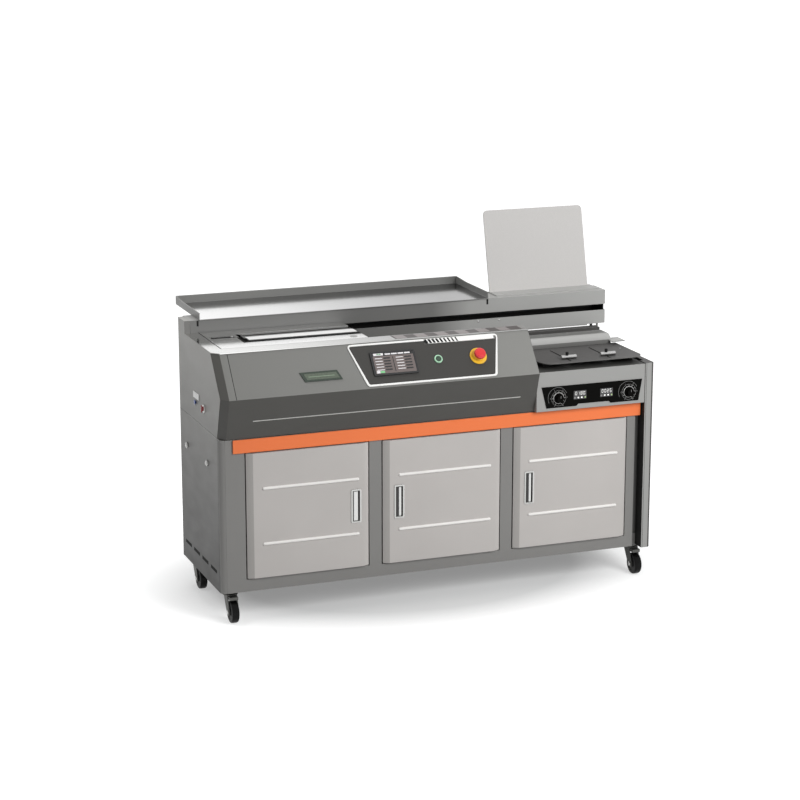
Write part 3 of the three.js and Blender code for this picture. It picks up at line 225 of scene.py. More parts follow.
class Wiring:
    """A material with a Principled shader, and the nodes that feed it."""

    def __init__(self, name, base, roughness, metallic=0):
        material = bpy.data.materials.new(name)
        material.use_nodes = True
        material.diffuse_color = (*base, 1)
        self.tree = material.node_tree
        self.shader = self.tree.nodes["Principled BSDF"]
        self.base = base
        self.roughness = roughness
        self.preset(("Base Color", (*base, 1)), ("Roughness", roughness), ("Metallic", metallic))
        self.place = add_node(self.tree, "TexCoord").outputs["Object"]
        MATERIALS[name] = material

    def preset(self, *pairs):
        """Sets inputs of the shader, given with their values."""
        for key, value in pairs:
            self.shader.inputs[key].default_value = value

    def feed(self, key, source):
        """Links a source to an input of the shader."""
        self.tree.links.new(source, self.shader.inputs[key])

    def stretched(self, scale, centre=ORIGIN):
        """The place of a point, counted from a centre and stretched along the axes."""
        values = [("Scale", scale), ("Location", tuple(-c * s for c, s in zip(centre, scale)))]
        mapping = add_node(self.tree, "Mapping", values, [("Vector", self.place)], vector_type="POINT")
        return mapping.outputs["Vector"]

    def noise(self, scale, detail=2, stretch=None):
        """A cloudy pattern, stretched along the axes where that is asked for."""
        place = self.stretched(stretch) if stretch else self.place
        values = [("Scale", scale), ("Detail", detail)]
        return add_node(self.tree, "TexNoise", values, [("Vector", place)]).outputs["Fac"]

    def ramp(self, factor, low, high):
        """Colours or greys between two values of a factor, where most of a noise lies."""
        node = add_node(self.tree, "ValToRGB", links=[("Fac", factor)])
        for stop, position, value in zip(node.color_ramp.elements, (0.3, 0.7), (low, high)):
            stop.position = position
            stop.color = (*value, 1) if hasattr(value, "__len__") else (value, value, value, 1)
        return node.outputs["Color"]

    def drifted(self, axis, stops):
        """Painted light and shade: a grey that changes along an axis, between tones set at places of the
        drawing.
        """
        low, high = stops[0][0], stops[-1][0]
        share = 1 / ((high - low) * MM)
        start = at(0, 0, 0)[axis] + low * MM
        place = self.stretched((share,) * 3, (start,) * 3)
        apart = add_node(self.tree, "SeparateXYZ", links=[("Vector", place)])
        node = add_node(self.tree, "ValToRGB", links=[("Fac", apart.outputs[axis])])
        points = node.color_ramp.elements
        while len(points) < len(stops):
            points.new(0.5)
        for point, (position, level) in zip(points, stops):
            point.position = (position - low) / (high - low)
            point.color = (*tone(level, level, level), 1)
        return node.outputs["Color"]

    def multiplied(self, first, second):
        """One colour laid over another, as a filter."""
        links = [("A", first), ("B", second)]
        mix = add_node(self.tree, "Mix", [("Factor", 1)], links, data_type="RGBA", blend_type="MULTIPLY")
        return mix.outputs["Result"]

    def tint(self, factor, low, high, painted_shading=None):
        """The base colour between two shares of itself, under painted light and shade where it is given."""
        shades = [tuple(min(1, c * share) for c in self.base) for share in (low, high)]
        source = self.ramp(factor, *shades)
        self.feed("Base Color", self.multiplied(self.drifted(*painted_shading), source) if painted_shading else source)

    def dull(self, factor, less, more):
        """The roughness between two distances from its own."""
        self.feed("Roughness", self.ramp(factor, self.roughness - less, self.roughness + more))

    def relief(self, height, distance, strength):
        """Bumps no higher than a distance."""
        values = [("Distance", distance * MM), ("Strength", strength)]
        bump = add_node(self.tree, "Bump", values, [("Height", height)])
        self.feed("Normal", bump.outputs["Normal"])


def powder_coat(name, base, roughness=0.42, spread=0.025, gloss=0.4, painted_shading=None):
    """Stove-enamelled sheet: fine orange peel, a tone that drifts over the panel, a few dull smudges, and
    painted light and shade where it is given.
    """
    wiring = Wiring(name, base, roughness)
    wiring.preset(("Specular IOR Level", gloss))
    wiring.tint(wiring.noise(3.2, 3), 1 - spread, 1 + spread, painted_shading)
    wiring.dull(wiring.noise(1, 4, (9, 9, 22)), 0.02, 0.05)
    wiring.relief(wiring.noise(520), 0.05, 0.35)


def brushed_metal(name, base, along="x", roughness=0.3, spread=0.12, swing=0.09, depth=0.4, painted_shading=None):
    """Sheet or bar with a grain of fine lines along one axis, and painted light and shade where it is given.
    """
    wiring = Wiring(name, base, roughness, 1)
    lines = wiring.noise(1, 3, tuple(4 if axis == along else 900 for axis in "xyz"))
    wiring.tint(lines, 1 - spread, 1 + spread, painted_shading)
    wiring.dull(lines, swing, swing)
    wiring.relief(lines, 0.02, depth)


def tray_sheet(name, base, across, inwards):
    """Brushed sheet with painted reflections: darker towards its right end and towards the rear wall."""
    wiring = Wiring(name, base, 0.13, 1)
    grain = wiring.noise(1, 3, (3, 700, 700))
    painted_shading = wiring.multiplied(wiring.drifted(*across), wiring.drifted(*inwards))
    wiring.feed("Base Color", wiring.multiplied(painted_shading, wiring.ramp(grain, 0.94, 1)))
    wiring.dull(grain, 0.03, 0.04)
    wiring.relief(grain, 0.02, 0.1)


def moulded(name, base, roughness=0.5, grain=700, depth=0.04, coat=0, gloss=0.5):
    """Moulded plastic or rubber with a fine spark-eroded grain."""
    wiring = Wiring(name, base, roughness)
    wiring.preset(("Specular IOR Level", gloss), ("Coat Weight", coat))
    grains = wiring.noise(grain)
    wiring.tint(grains, 0.92, 1.08)
    wiring.dull(grains, 0.06, 0.08)
    wiring.relief(grains, depth, 0.4)


def printed(name, base, glow=0):
    """Screen-printed ink, or a picture element that shines through its glass."""
    wiring = Wiring(name, base, 0.4)
    wiring.tint(wiring.noise(900, 1), 0.88, 1)
    if glow:
        wiring.preset(("Emission Color", (*base, 1)), ("Emission Strength", glow))


# Painted light and shade: an axis, and the grey tones at places of the drawing along it
# Painted light: the upper console lighter towards the right
CONSOLE_LIGHT = (0, [(0, 232), (430, 240), (1116, 255)])
# Painted shade: the left side darker towards the bottom
SIDE_SHADE = (2, [(120, 84), (300, 122), (500, 171), (600, 199), (700, 219), (890, 255)])
# Painted shade: the beam's front darker on the left, under the tray
BEAM_SHADE = (0, [(60, 190), (500, 192), (620, 176), (900, 184), (1040, 252), (1500, 255)])
# Painted shade: the recess beside the column darker towards the column
RECESS_SHADING = (0, [(1504, 225), (1514, 182), (1528, 112), (1540, 84)])
# Painted shade and reflection: the deck darker towards the right
DECK_SHADE = (0, [(60, 255), (200, 246), (350, 230), (500, 204), (620, 184), (1116, 176)])
# Painted shade and reflection: the carriage a little darker towards the right
CARRIAGE_SHADE = (0, [(60, 255), (350, 252), (560, 240)])
# Painted reflection: the tray's floor bright at the left, darker towards the right
TRAY_REFLECTION = (0, [(60, 255), (350, 229), (500, 206), (800, 156), (950, 140), (1090, 152)])
# Painted reflection and shadow of the rear wall: the tray's floor darker at the wall's foot
TRAY_WALL_REFLECTION = (1, [(545, 255), (615, 172)])

# The finishes under their slot in the record: a kind, a colour or its setting, and the kind's own values
FINISHES = {
    "grey_paint": {
        "grey_paint": (powder_coat, "grey"),
        # Painted shade: the left side darker towards the bottom
        "side_paint": (powder_coat, "side", 0.45, 0.02, 0.2, SIDE_SHADE),
        # Painted light: the upper console lighter towards the right
        "upper_console": (powder_coat, "upper", 0.42, 0.02, 0.4, CONSOLE_LIGHT),
        "lower_console": (powder_coat, "lower", 0.45, 0.03),
        # Painted shade: the console's chamfer is darker because it faces away from the light
        "console_edge": (powder_coat, (80, 79, 76), 0.45, 0.03, 0.3),
        # The cover table's dark grey, also used as painted shade on the column's cap, the doors' sides and
        # the rear nip plate
        "table_paint": (powder_coat, (76, 75, 74), 0.5, 0.04, 0.25),
        # Painted shade: the jaw's top behind its bright bar
        "dark_top": (powder_coat, (98, 98, 97), 0.5, 0.04, 0.25),
        "top_shade": (powder_coat, (50, 50, 48), 0.5, 0.04, 0.25),
    },
    "light_paint": {
        "light_paint": (powder_coat, "column"),
        # The beam's grey, also used as a painted highlight on the front nip plate's rolled top
        "beam_paint": (powder_coat, "beam"),
        # Painted shade: the beam's front darker on the left, under the tray
        "beam_front": (powder_coat, "beam", 0.38, 0.02, 0.4, BEAM_SHADE),
        "door_paint": (powder_coat, "door", 0.4, 0.03),
        "door_shade": (powder_coat, (158, 155, 152), 0.42, 0.03),
        "post_grey": (powder_coat, (150, 150, 148)),
        "tray_wall": (powder_coat, (132, 132, 130), 0.4, 0.03, 0.3),
        # The front nip plate's grey, also used as a painted highlight on the cover table's front lip
        "hood_paint": (powder_coat, (104, 104, 102), 0.3, 0.02),
    },
    "dark_plate": {
        "dark_plate": (powder_coat, (63, 62, 60), 0.45, 0.03, 0.3),
        # Painted shade: a near-black grey for recesses and for the plate under the deck
        "inside_paint": (powder_coat, (34, 34, 33), 0.55, 0.05, 0.25),
        "recess_shade": (powder_coat, (146, 145, 143), 0.5, 0.02, 0.3, RECESS_SHADING),
        "strip_dark": (printed, (60, 53, 52)),
    },
    "orange_paint": {"orange_paint": (powder_coat, "orange", 0.38, 0.02)},
    "white_paint": {
        # Painted highlight: the door ribs are near-white where their tops catch the light
        "rib_enamel": (powder_coat, (238, 236, 233), 0.3, 0.01),
        # The console strip's light grey, also used as a painted highlight along the side's seam
        "strip_enamel": (powder_coat, (190, 190, 186), 0.3, 0.01),
    },
    # Near-white paint with a painted highlight, for the jaw's bar
    "aluminium": {"bar_enamel": (powder_coat, (246, 246, 245), 0.3, 0.01)},
    "brushed": {
        "brushed": (brushed_metal, (205, 204, 202)),
        # Painted shade and reflection: the deck darker towards the right
        "deck_steel": (brushed_metal, "deck", "x", 0.12, 0.03, 0.025, 0.1, DECK_SHADE),
        # Painted shade and reflection: the carriage a little darker towards the right
        "carriage_steel": (brushed_metal, (248, 248, 247), "x", 0.12, 0.03, 0.025, 0.1, CARRIAGE_SHADE),
        # Painted reflections: the tray's floor darker towards the right and at the rear wall's foot
        "tray_steel": (tray_sheet, (200, 200, 199), TRAY_REFLECTION, TRAY_WALL_REFLECTION),
    },
    "zinc": {
        "zinc": (brushed_metal, (176, 176, 174), "y", 0.38, 0.08),
        "fork_steel": (brushed_metal, (88, 88, 86), "z", 0.5, 0.08),
    },
    "chrome": {
        "chrome": (brushed_metal, (225, 225, 224), "x", 0.16, 0.04),
        "stop_chrome": (brushed_metal, (196, 196, 195), "y", 0.28, 0.05),
        "grip_bar": (brushed_metal, (184, 184, 183), "z", 0.3, 0.05),
    },
    "rail_steel": {"rail_steel": (brushed_metal, (70, 70, 70), "x", 0.35)},
    "roller_metal": {"roller_metal": (brushed_metal, (200, 176, 120), "y", 0.35)},
    "black_plastic": {
        "black_plastic": (moulded, (22, 22, 22), 0.55, 700, 0.04, 0, 0.25),
        # Black of the knob panel and dials, also used as painted shade in the vents, the carriage's slot and
        # round the jaw's opening
        "panel_black": (moulded, (9, 9, 8), 0.6, 700, 0.04, 0, 0.04),
        # Painted shade: the dark hollow of the door pulls
        "cup_dark": (moulded, (40, 39, 39), 0.55),
    },
    "screen": {
        "screen": (moulded, (18, 18, 20), 0.16, 300, 0.005, 0.5),
        "picture": (printed, (104, 95, 93), 0.12),
    },
    "green_window": {
        "green_window": (moulded, (40, 52, 42), 0.3, 300, 0.005, 0.4),
        "window_inner": (moulded, (80, 90, 76), 0.3, 300, 0.005, 0.4),
        "window_line": (printed, (140, 156, 136)),
        "picture_green": (printed, (120, 186, 132), 0.25),
    },
    "white_plastic": {
        "white_plastic": (moulded, (236, 236, 234), 0.45),
        "ink_white": (printed, (232, 232, 230)),
        "ink_grey": (printed, (140, 140, 139)),
        "strip_pale": (printed, (138, 131, 130)),
        "picture_light": (printed, (214, 212, 214), 0.25),
        "lamp_white": (printed, (246, 246, 244), 0.35),
        "lamp_grey": (printed, (150, 150, 149)),
    },
    "green_ring": {
        "green_ring": (moulded, (172, 216, 184), 0.25, 500, 0.01, 0.4),
        "lamp_green": (printed, (172, 196, 140), 0.15),
    },
    "button_dark": {"button_dark": (moulded, (40, 66, 50), 0.25, 500, 0.01, 0.4)},
    "yellow": {"yellow": (moulded, (234, 186, 54), 0.35, 600, 0.02, 0.3)},
    "red": {
        "red": (moulded, (212, 40, 46), 0.3, 600, 0.02, 0.4),
        "switch_red": (moulded, (140, 30, 34), 0.35, 600, 0.02, 0.3),
    },
    "blue": {"blue": (moulded, (48, 70, 130), 0.35, 600, 0.02, 0.3)},
    "frosted": {"frosted": (moulded, "plate", 0.6, 900, 0.02)},
    "tyre": {
        "tyre": (moulded, (7, 7, 7), 0.35, 500, 0.06, 0, 0.14),
        "hub_grey": (moulded, (26, 26, 26), 0.45, 500, 0.03, 0, 0.2),
    },
}


def make_materials(colours):
    """Every finish on the machine."""
    for finishes in FINISHES.values():
        for name, (kind, base, *values) in finishes.items():
            kind(name, tuple(getattr(colours, base)) if isinstance(base, str) else tone(*base), *values)


# Modelling helpers


def deselect():
    """Leaves edit mode with nothing selected."""
    if bpy.context.object and bpy.context.object.mode != "OBJECT":
        bpy.ops.object.mode_set(mode="OBJECT")
    bpy.ops.object.select_all(action="DESELECT")


def activate(piece):
    """Makes a piece the one that operators work on."""
    deselect()
    piece.select_set(True)
    bpy.context.view_layer.objects.active = piece


def edit(piece, kind="FACE", action="DESELECT"):
    """Opens a piece in edit mode, with none or all of it selected."""
    activate(piece)
    bpy.ops.object.mode_set(mode="EDIT")
    bpy.ops.mesh.select_mode(type=kind)
    bpy.ops.mesh.select_all(action=action)


def leave():
    """Goes back to object mode."""
    bpy.ops.object.mode_set(mode="OBJECT")


def pick(kind, test):
    """Selects in edit mode only the faces, edges or verts that pass a test."""
    bpy.ops.mesh.select_all(action="DESELECT")
    shape = bmesh.from_edit_mesh(bpy.context.edit_object.data)
    found = [item for item in getattr(shape, kind) if test(item)]
    for item in found:
        item.select_set(True)
    bmesh.update_edit_mesh(bpy.context.edit_object.data)
    if not found:
        raise RuntimeError(f"{bpy.context.edit_object.name}: no {kind} to shape")


def pushed(value):
    """Extrudes what is selected by a vector in millimetres."""
    bpy.ops.mesh.extrude_region_move(TRANSFORM_OT_translate={"value": Vector(value) * MM})


def inset(thick, depth=0, apart=False):
    """Insets what is selected by a border in millimetres, and lifts it by a depth."""
    bpy.ops.mesh.inset(thickness=thick * MM, depth=depth * MM, use_individual=apart)


def settled(piece):
    """The object's place goes into its mesh, so that it ends at the origin, unturned and unscaled."""
    activate(piece)
    bpy.ops.object.transform_apply(location=True, rotation=True, scale=True)
    return piece


def named(name):
    """The piece just made, settled and under its name."""
    piece = settled(bpy.context.object)
    piece.name = name
    return piece


def weigh_normals(piece, angle=40):
    """Smooth shading up to an angle, led by the large faces."""
    activate(piece)
    bpy.ops.object.shade_smooth_by_angle(angle=math.radians(angle))
    weigh = piece.modifiers.new("weigh", "WEIGHTED_NORMAL")
    weigh.keep_sharp = True
    bpy.ops.object.modifier_apply(modifier=weigh.name)


def soften(piece, width, segments=2, sharp=25):
    """Rounds every edge of a piece that is sharper than an angle, by a width in metres."""
    if not width:
        return piece
    activate(piece)
    bevel = piece.modifiers.new("soften", "BEVEL")
    bevel.width = width
    bevel.segments = segments
    bevel.limit_method = "ANGLE"
    bevel.angle_limit = math.radians(sharp)
    bevel.use_clamp_overlap = True
    bpy.ops.object.modifier_apply(modifier=bevel.name)
    return piece


def block(name, low, high, width=0.4, segments=2):
    """A block between two corners, with its edges rounded by a width."""
    low, high = Vector(low) * MM, Vector(high) * MM
    deselect()
    bpy.ops.mesh.primitive_cube_add(size=1, location=(low + high) / 2, scale=high - low)
    return soften(named(name), width * MM, segments)


def rounded(name, low, high, radius, segments):
    """A block with its upright edges rounded by a radius."""
    piece = block(name, low, high, 0)
    edit(piece, "EDGE")
    pick("edges", lambda e: abs((e.verts[0].co - e.verts[1].co).normalized().z) > 0.9)
    bpy.ops.mesh.bevel(offset=radius * MM, segments=segments, affect="EDGES")
    leave()
    return piece


def slanted(name, low, high, lean, width):
    """A block whose upper edge is moved along x by the lean."""
    piece = block(name, low, high, 0)
    middle = (low[1] + high[1]) / 2 * MM
    edit(piece, "VERT")
    pick("verts", lambda v: v.co.y > middle)
    bpy.ops.transform.translate(value=(lean * MM, 0, 0))
    leave()
    return soften(piece, width * MM)


def capsule(name, start, end, radius, sides=20):
    """A bar with round ends from one point to another."""
    start, end = Vector(start) * MM, Vector(end) * MM
    way = end - start
    deselect()
    bpy.ops.mesh.primitive_cylinder_add(
        vertices=sides, radius=radius * MM, depth=way.length, location=(start + end) / 2,
        rotation=way.to_track_quat("Z", "Y").to_euler(),
    )
    return soften(named(name), radius * 0.96 * MM, 5, 60)


def turned(name, centre, profile, sides=48):
    """A round piece raised from its foot on a board: (radius, height) pairs."""
    x, y, z = centre
    radius, foot = profile[0]
    deselect()
    bpy.ops.mesh.primitive_circle_add(
        vertices=sides, radius=radius * MM, fill_type="NGON", location=Vector((x, y, z + foot)) * MM,
    )
    piece = named(name)
    edit(piece, action="SELECT")
    for (old, low), (new, high) in zip(profile, profile[1:]):
        pushed((0, 0, high - low))
        share = new / old
        bpy.ops.transform.resize(value=(share, share, 1), center_override=Vector((x, y, z + high)) * MM)
    bpy.ops.mesh.select_all(action="SELECT")
    bpy.ops.mesh.normals_make_consistent(inside=False)
    leave()
    return piece


def mirrored(profile):
    """The upper half of a profile whose lower half is given, from its foot."""
    return [(radius, -height) for radius, height in reversed(profile)]


def fluted(piece, x, y, sides, low, high, gap, share):
    """Presses in every second face between two heights of a round piece."""
    axis = Vector((x, y, 0)) * MM

    def every_second(face):
        point = face.calc_center_median()
        turn = math.atan2(point.y - axis.y, point.x - axis.x) % TURN
        return low < point.z / MM < high and int(turn / TURN * sides) % 2 == 0

    edit(piece)
    pick("faces", every_second)
    inset(gap, apart=True)
    bpy.ops.transform.resize(value=(share, share, 1), center_override=axis)
    leave()
    return piece


def ring(name, centre, radius, thick):
    """A thin round line."""
    deselect()
    bpy.ops.mesh.primitive_torus_add(
        location=Vector(centre) * MM, major_radius=radius * MM, minor_radius=thick / 2 * MM,
        major_segments=64, minor_segments=8,
    )
    piece = named(name)
    edit(piece, action="SELECT")
    bpy.ops.transform.resize(value=(1, 1, 0.3), center_override=Vector(centre) * MM)
    leave()
    return piece


def trimmed(piece, corner, normal):
    """Cuts away what lies beyond a plane, and closes the cut."""
    edit(piece, action="SELECT")
    bpy.ops.mesh.bisect(plane_co=Vector(corner) * MM, plane_no=normal, use_fill=True, clear_outer=True)
    leave()
    return piece


def joined(name, pieces):
    """Pieces made one, under a name."""
    deselect()
    for piece in pieces:
        piece.select_set(True)
    bpy.context.view_layer.objects.active = pieces[0]
    if len(pieces) > 1:
        bpy.ops.object.join()
    pieces[0].name = name
    return pieces[0]


def copied(piece, name, shift, turn=0):
    """A copy of a piece with a mesh of its own, turned about its board's z axis and moved."""
    twin = piece.copy()
    twin.data = piece.data.copy()
    bpy.context.scene.collection.objects.link(twin)
    twin.matrix_world = Matrix.Translation(Vector(shift) * MM) @ Matrix.Rotation(turn, 4, "Z")
    activate(twin)
    return named(name)


def set_out(name, piece, places):
    """Copies of a piece modelled at the board's origin as one object, for each point and turn."""
    pieces = [copied(piece, f"{name}_{i}", point, turn) for i, (point, turn) in enumerate(places)]
    bpy.data.objects.remove(piece)
    return joined(name, pieces)


def paint_where(piece, finish, test):
    """Gives the faces that pass a test a finish of their own."""
    piece.data.materials.append(MATERIALS[finish])
    last = len(piece.data.materials) - 1
    for face in piece.data.polygons:
        if test(face):
            face.material_index = last


def dress(piece, body, finish, on=FLAT, replaces=(), angle=35):
    """Carries a piece from its board to its place, and gives it its material and its body."""
    piece.matrix_world = on @ piece.matrix_world
    settled(piece)
    weigh_normals(piece, angle)
    piece.data.materials.clear()
    piece.data.materials.append(MATERIALS[finish])
    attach(piece, body)
    if replaces:
        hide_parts(*replaces)
    return piece


def blocks(name, body, finish, corners, width, on=FLAT, segments=2):
    """A dressed piece made of blocks, each between two corners."""
    pieces = [block(f"{name}_{i}", low, high, width, segments) for i, (low, high) in enumerate(corners)]
    return dress(joined(name, pieces), body, finish, on)


def copied_node(node, width):
    """A merged copy of a solid, with its flat faces whole and its edges rounded."""
    source = frame["nodes"][node]
    piece = source.copy()
    piece.data = source.data.copy()
    for key in list(piece.keys()):
        del piece[key]
    piece.parent = None
    piece.matrix_world = Matrix.Identity(4)
    bpy.context.scene.collection.objects.link(piece)
    piece.name = f"{node}_skin"
    edit(piece, "VERT", "SELECT")
    bpy.ops.mesh.remove_doubles(threshold=0.01 * MM)
    bpy.ops.mesh.dissolve_limited(angle_limit=math.radians(0.5))
    leave()
    return soften(piece, width)


def skin(node, finish, width, angle=40):
    """The finished copy that stands for a solid."""
    body = frame["nodes"][node]["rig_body"]
    return dress(copied_node(node, width), body, finish, Matrix.Identity(4), [node], angle)


def cut_across(piece, axis, *places):
    """Divides a piece's faces along planes across an axis, at places of the drawing."""
    normal = [0, 0, 0]
    normal[axis] = 1
    edit(piece)
    for place in places:
        point = at(0, 0, 0)
        point[axis] += place * MM
        bpy.ops.mesh.select_all(action="SELECT")
        bpy.ops.mesh.bisect(plane_co=point, plane_no=normal)
    leave()


def groove(piece, low, high, axis, facing, depth):
    """A dark seam: the strip between two planes is pressed into the faces that look one way."""
    facing = Vector(facing)
    cut_across(piece, axis, low, high)
    inside = lambda point: low < on_drawing(point)[axis] < high
    edit(piece)
    pick("faces", lambda f: inside(f.calc_center_median()) and f.normal.dot(facing) > 0.9)
    pushed(facing * -depth)
    leave()
    weigh_normals(piece)
    paint_where(piece, "black_plastic", lambda f: inside(f.center) and f.normal.dot(facing) > 0.9)


def screws(name, body, radius, height, points, on=FLAT, finish="zinc"):
    """Pan-head screws with a socket, as one piece."""
    socket = radius * 0.45
    screw = turned(name, ORIGIN, [
        (radius, 0), (radius, height * 0.45), (radius * 0.86, height * 0.85), (radius * 0.62, height),
        (socket, height), (socket * 0.98, height * 0.3),
    ], 24)
    return dress(set_out(name, screw, [(point, 0) for point in points]), body, finish, on)


def number(name, text, place, height):
    """A plain number, centred on a point of a board, as a thin mesh."""
    deselect()
    bpy.ops.object.text_add()
    letters = bpy.context.object.data
    letters.body = text
    letters.size = height * 1.4 * MM
    letters.align_x = "CENTER"
    letters.align_y = "CENTER"
    letters.extrude = 0.08 * MM
    bpy.ops.object.convert(target="MESH")
    bpy.context.object.location = Vector(place) * MM
    return named(name)


# Stage

CAMERA_PLACE = (-1952.531, -6812.186, 2498.355)
CAMERA_TILT, CAMERA_TURN = 90 - 13.793759, -20.756129
LAMPS_AIM = (800, 200, 600)


class BINDER_OT_stage(bpy.types.Operator):
    """Makes the floor, the lamps, the sky and the photograph's camera"""
    bl_idname = "binder.stage"
    bl_label = "Stage"

    def execute(self, context):
        settings = context.scene.binder_stage
        self.camera(context, settings)
        self.floor()
        self.sky(context, settings)
        self.lamps(settings)
        return {"FINISHED"}

    def camera(self, context, settings):
        """The photograph's camera, fitted to the corners and edges of the machine."""
        deselect()
        turn = Euler((math.radians(CAMERA_TILT), 0, math.radians(CAMERA_TURN)))
        bpy.ops.object.camera_add(location=at(*CAMERA_PLACE), rotation=turn)
        camera = context.object
        camera.name = "photo_camera"
        camera.data.sensor_width = 36
        camera.data.lens = settings.lens
        camera.data.clip_start = 0.05
        camera.data.clip_end = 200
        context.scene.camera = camera

    def floor(self):
        """A pale floor that keeps the shadow near the object and fades into the white backdrop."""
        deselect()
        bpy.ops.mesh.primitive_circle_add(vertices=96, radius=40, fill_type="NGON")
        floor = named("studio_floor")
        wiring = Wiring("studio_floor", tone(198, 199, 199), 0.9)
        wiring.preset(("Specular IOR Level", 0.1), ("Emission Color", (1, 1, 1, 1)))
        tree = wiring.tree
        away = add_node(tree, "VectorMath", links=[(0, wiring.stretched((0.9, 1.3, 1)))], operation="LENGTH")
        values = [("From Min", 0.55), ("From Max", 1.05), ("To Min", 0.24), ("To Max", 1)]
        fade = add_node(tree, "MapRange", values, [("Value", away.outputs["Value"])])
        links = [(0, seen_by(tree, "Is Camera Ray", "Is Glossy Ray")), (1, fade.outputs["Result"])]
        wiring.feed("Emission Strength", add_node(tree, "Math", links=links, operation="MULTIPLY").outputs[0])
        floor.data.materials.append(MATERIALS["studio_floor"])

    def sky(self, context, settings):
        """White to the camera and in reflections, and a faint light on everything else."""
        world = bpy.data.worlds.new("studio_sky")
        context.scene.world = world
        world.use_nodes = True
        tree = world.node_tree
        back = tree.nodes["Background"]
        back.inputs["Color"].default_value = (1, 1, 1, 1)
        seen = seen_by(tree, "Is Camera Ray", "Is Glossy Ray", "Is Transmission Ray")
        level = add_node(tree, "MapRange", [("To Min", settings.fill), ("To Max", 1)], [("Value", seen)])
        tree.links.new(level.outputs["Result"], back.inputs["Strength"])

    def lamps(self, settings):
        """Three round lamps, seen neither by the camera nor in reflections."""
        lamps = (
            ("key_lamp", (2300, -3200, 2700), settings.key, 2.4),
            ("left_lamp", (-1500, 300, 2700), settings.side, 1.2),
            ("top_lamp", (600, 900, 4200), settings.top, 3.0),
        )
        for name, place, power, size in lamps:
            deselect()
            bpy.ops.object.light_add(type="AREA", location=at(*place))
            lamp = bpy.context.object
            lamp.name = name
            lamp.data.energy = power
            lamp.data.shape = "DISK"
            lamp.data.size = size
            lamp.visible_camera = False
            lamp.visible_glossy = False
            lamp.rotation_mode = "QUATERNION"
            lamp.rotation_quaternion = (at(*LAMPS_AIM) - lamp.location).to_track_quat("-Z", "Y")


# Cabinet

PANEL_SCREW = (4.2, 1.6)


class BINDER_OT_cabinet(bpy.types.Operator):
    """Finishes the cabinet's sheet panels, with their seams and screws"""
    bl_idname = "binder.cabinet"
    bl_label = "Cabinet"

    def execute(self, context):
        sizes = context.scene.binder_sizes
        skin("base_pan", "grey_paint", sizes.edge)
        skin("front_frame", "grey_paint", sizes.fold)
        skin("accent_band", "orange_paint", sizes.fold)
        self.left_side(sizes)
        self.right_side(sizes)
        self.rear(sizes)
        return {"FINISHED"}

    def left_side(self, sizes):
        """The seam between the lower side and the upper casing runs at the foot of the console."""
        low, high = drawn("left_side_panel")
        piece = skin("left_side_panel", "side_paint", sizes.fold)
        seam = CONSOLE_LOW.z + 2
        groove(piece, seam, seam + sizes.groove / MM, 2, (-1, 0, 0), 0.8)
        paint_where(piece, "grey_paint", lambda f: f.normal.y < -0.3)
        # Painted highlight: a light strip along the seam's lower edge
        lit = [((-high.y + 95, seam - 0.9, -0.2), (-low.y - 22, seam, 0.15))]
        blocks("side_seam_edge", "cabinet", "strip_enamel", lit, 0.1, SIDE)
        first, pitch, count, long, foot, tall = 38 - high.y, 103, 4, 73, low.z + 57, 12
        starts = [first + i * pitch for i in range(count)]
        # Painted shade: black blocks fill the vents, whose inside is in shade
        vent_shades = [((x, foot, -3), (x + long, foot + tall, 0.12)) for x in starts]
        blocks("side_vent_liners", "cabinet", "panel_black", vent_shades, 0, SIDE)

    def right_side(self, sizes):
        """The front column has a seam down its face, with painted shade inside it, on its top and on its
        right edge.
        """
        low, high = drawn("right_side_panel")
        piece = skin("right_side_panel", "light_paint", sizes.fold)
        middle = (low.x + high.x) / 2 - 2
        groove(piece, middle, middle + 1.2, 0, (0, -1, 0), 0.7)
        # Painted shade: the column's inner wall is near-black, the recess beside it darkens towards the
        # column, and the column's top and right edge take the dark table grey
        paint_where(piece, "inside_paint", lambda f: f.normal.x < -0.5)
        paint_where(piece, "recess_shade", lambda f: f.normal.y < -0.5 and spot(f).y > 10)
        cap = lambda f: upward(f) or f.normal.x > 0.15 and f.normal.y < -0.05
        paint_where(piece, "table_paint", cap)
        right = board((high.x, 0, 0), (0, 1, 0), UP)
        rows = [low.z + 30, (low.z + high.z) / 2, high.z - 40]
        points = [(y, z, 0) for y in (45, high.y - 22) for z in rows]
        screws("right_side_screws", "cabinet", *PANEL_SCREW, points, right)

    def rear(self, sizes):
        """Two rows of screws, and a dark mesh behind each set of vents."""
        low, high = drawn("rear_panel")
        skin("rear_panel", "grey_paint", sizes.fold)
        margin, count = 16, 6
        pitch = (high.x - low.x - 2 * margin) / (count - 1)
        columns = [low.x + margin + i * pitch for i in range(count)]
        points = [(-x, z, 0) for x in columns for z in (low.z + 14, high.z - 34)]
        screws("rear_panel_screws", "cabinet", *PANEL_SCREW, points, REAR)
        wide, foot, top = 164, low.z + 124, low.z + 258
        meshes = [((-x - wide, foot, -12), (-x + 4, top, -8)) for x in (330, high.x - 490)]
        blocks("rear_vent_meshes", "cabinet", "black_plastic", meshes, 0, REAR)


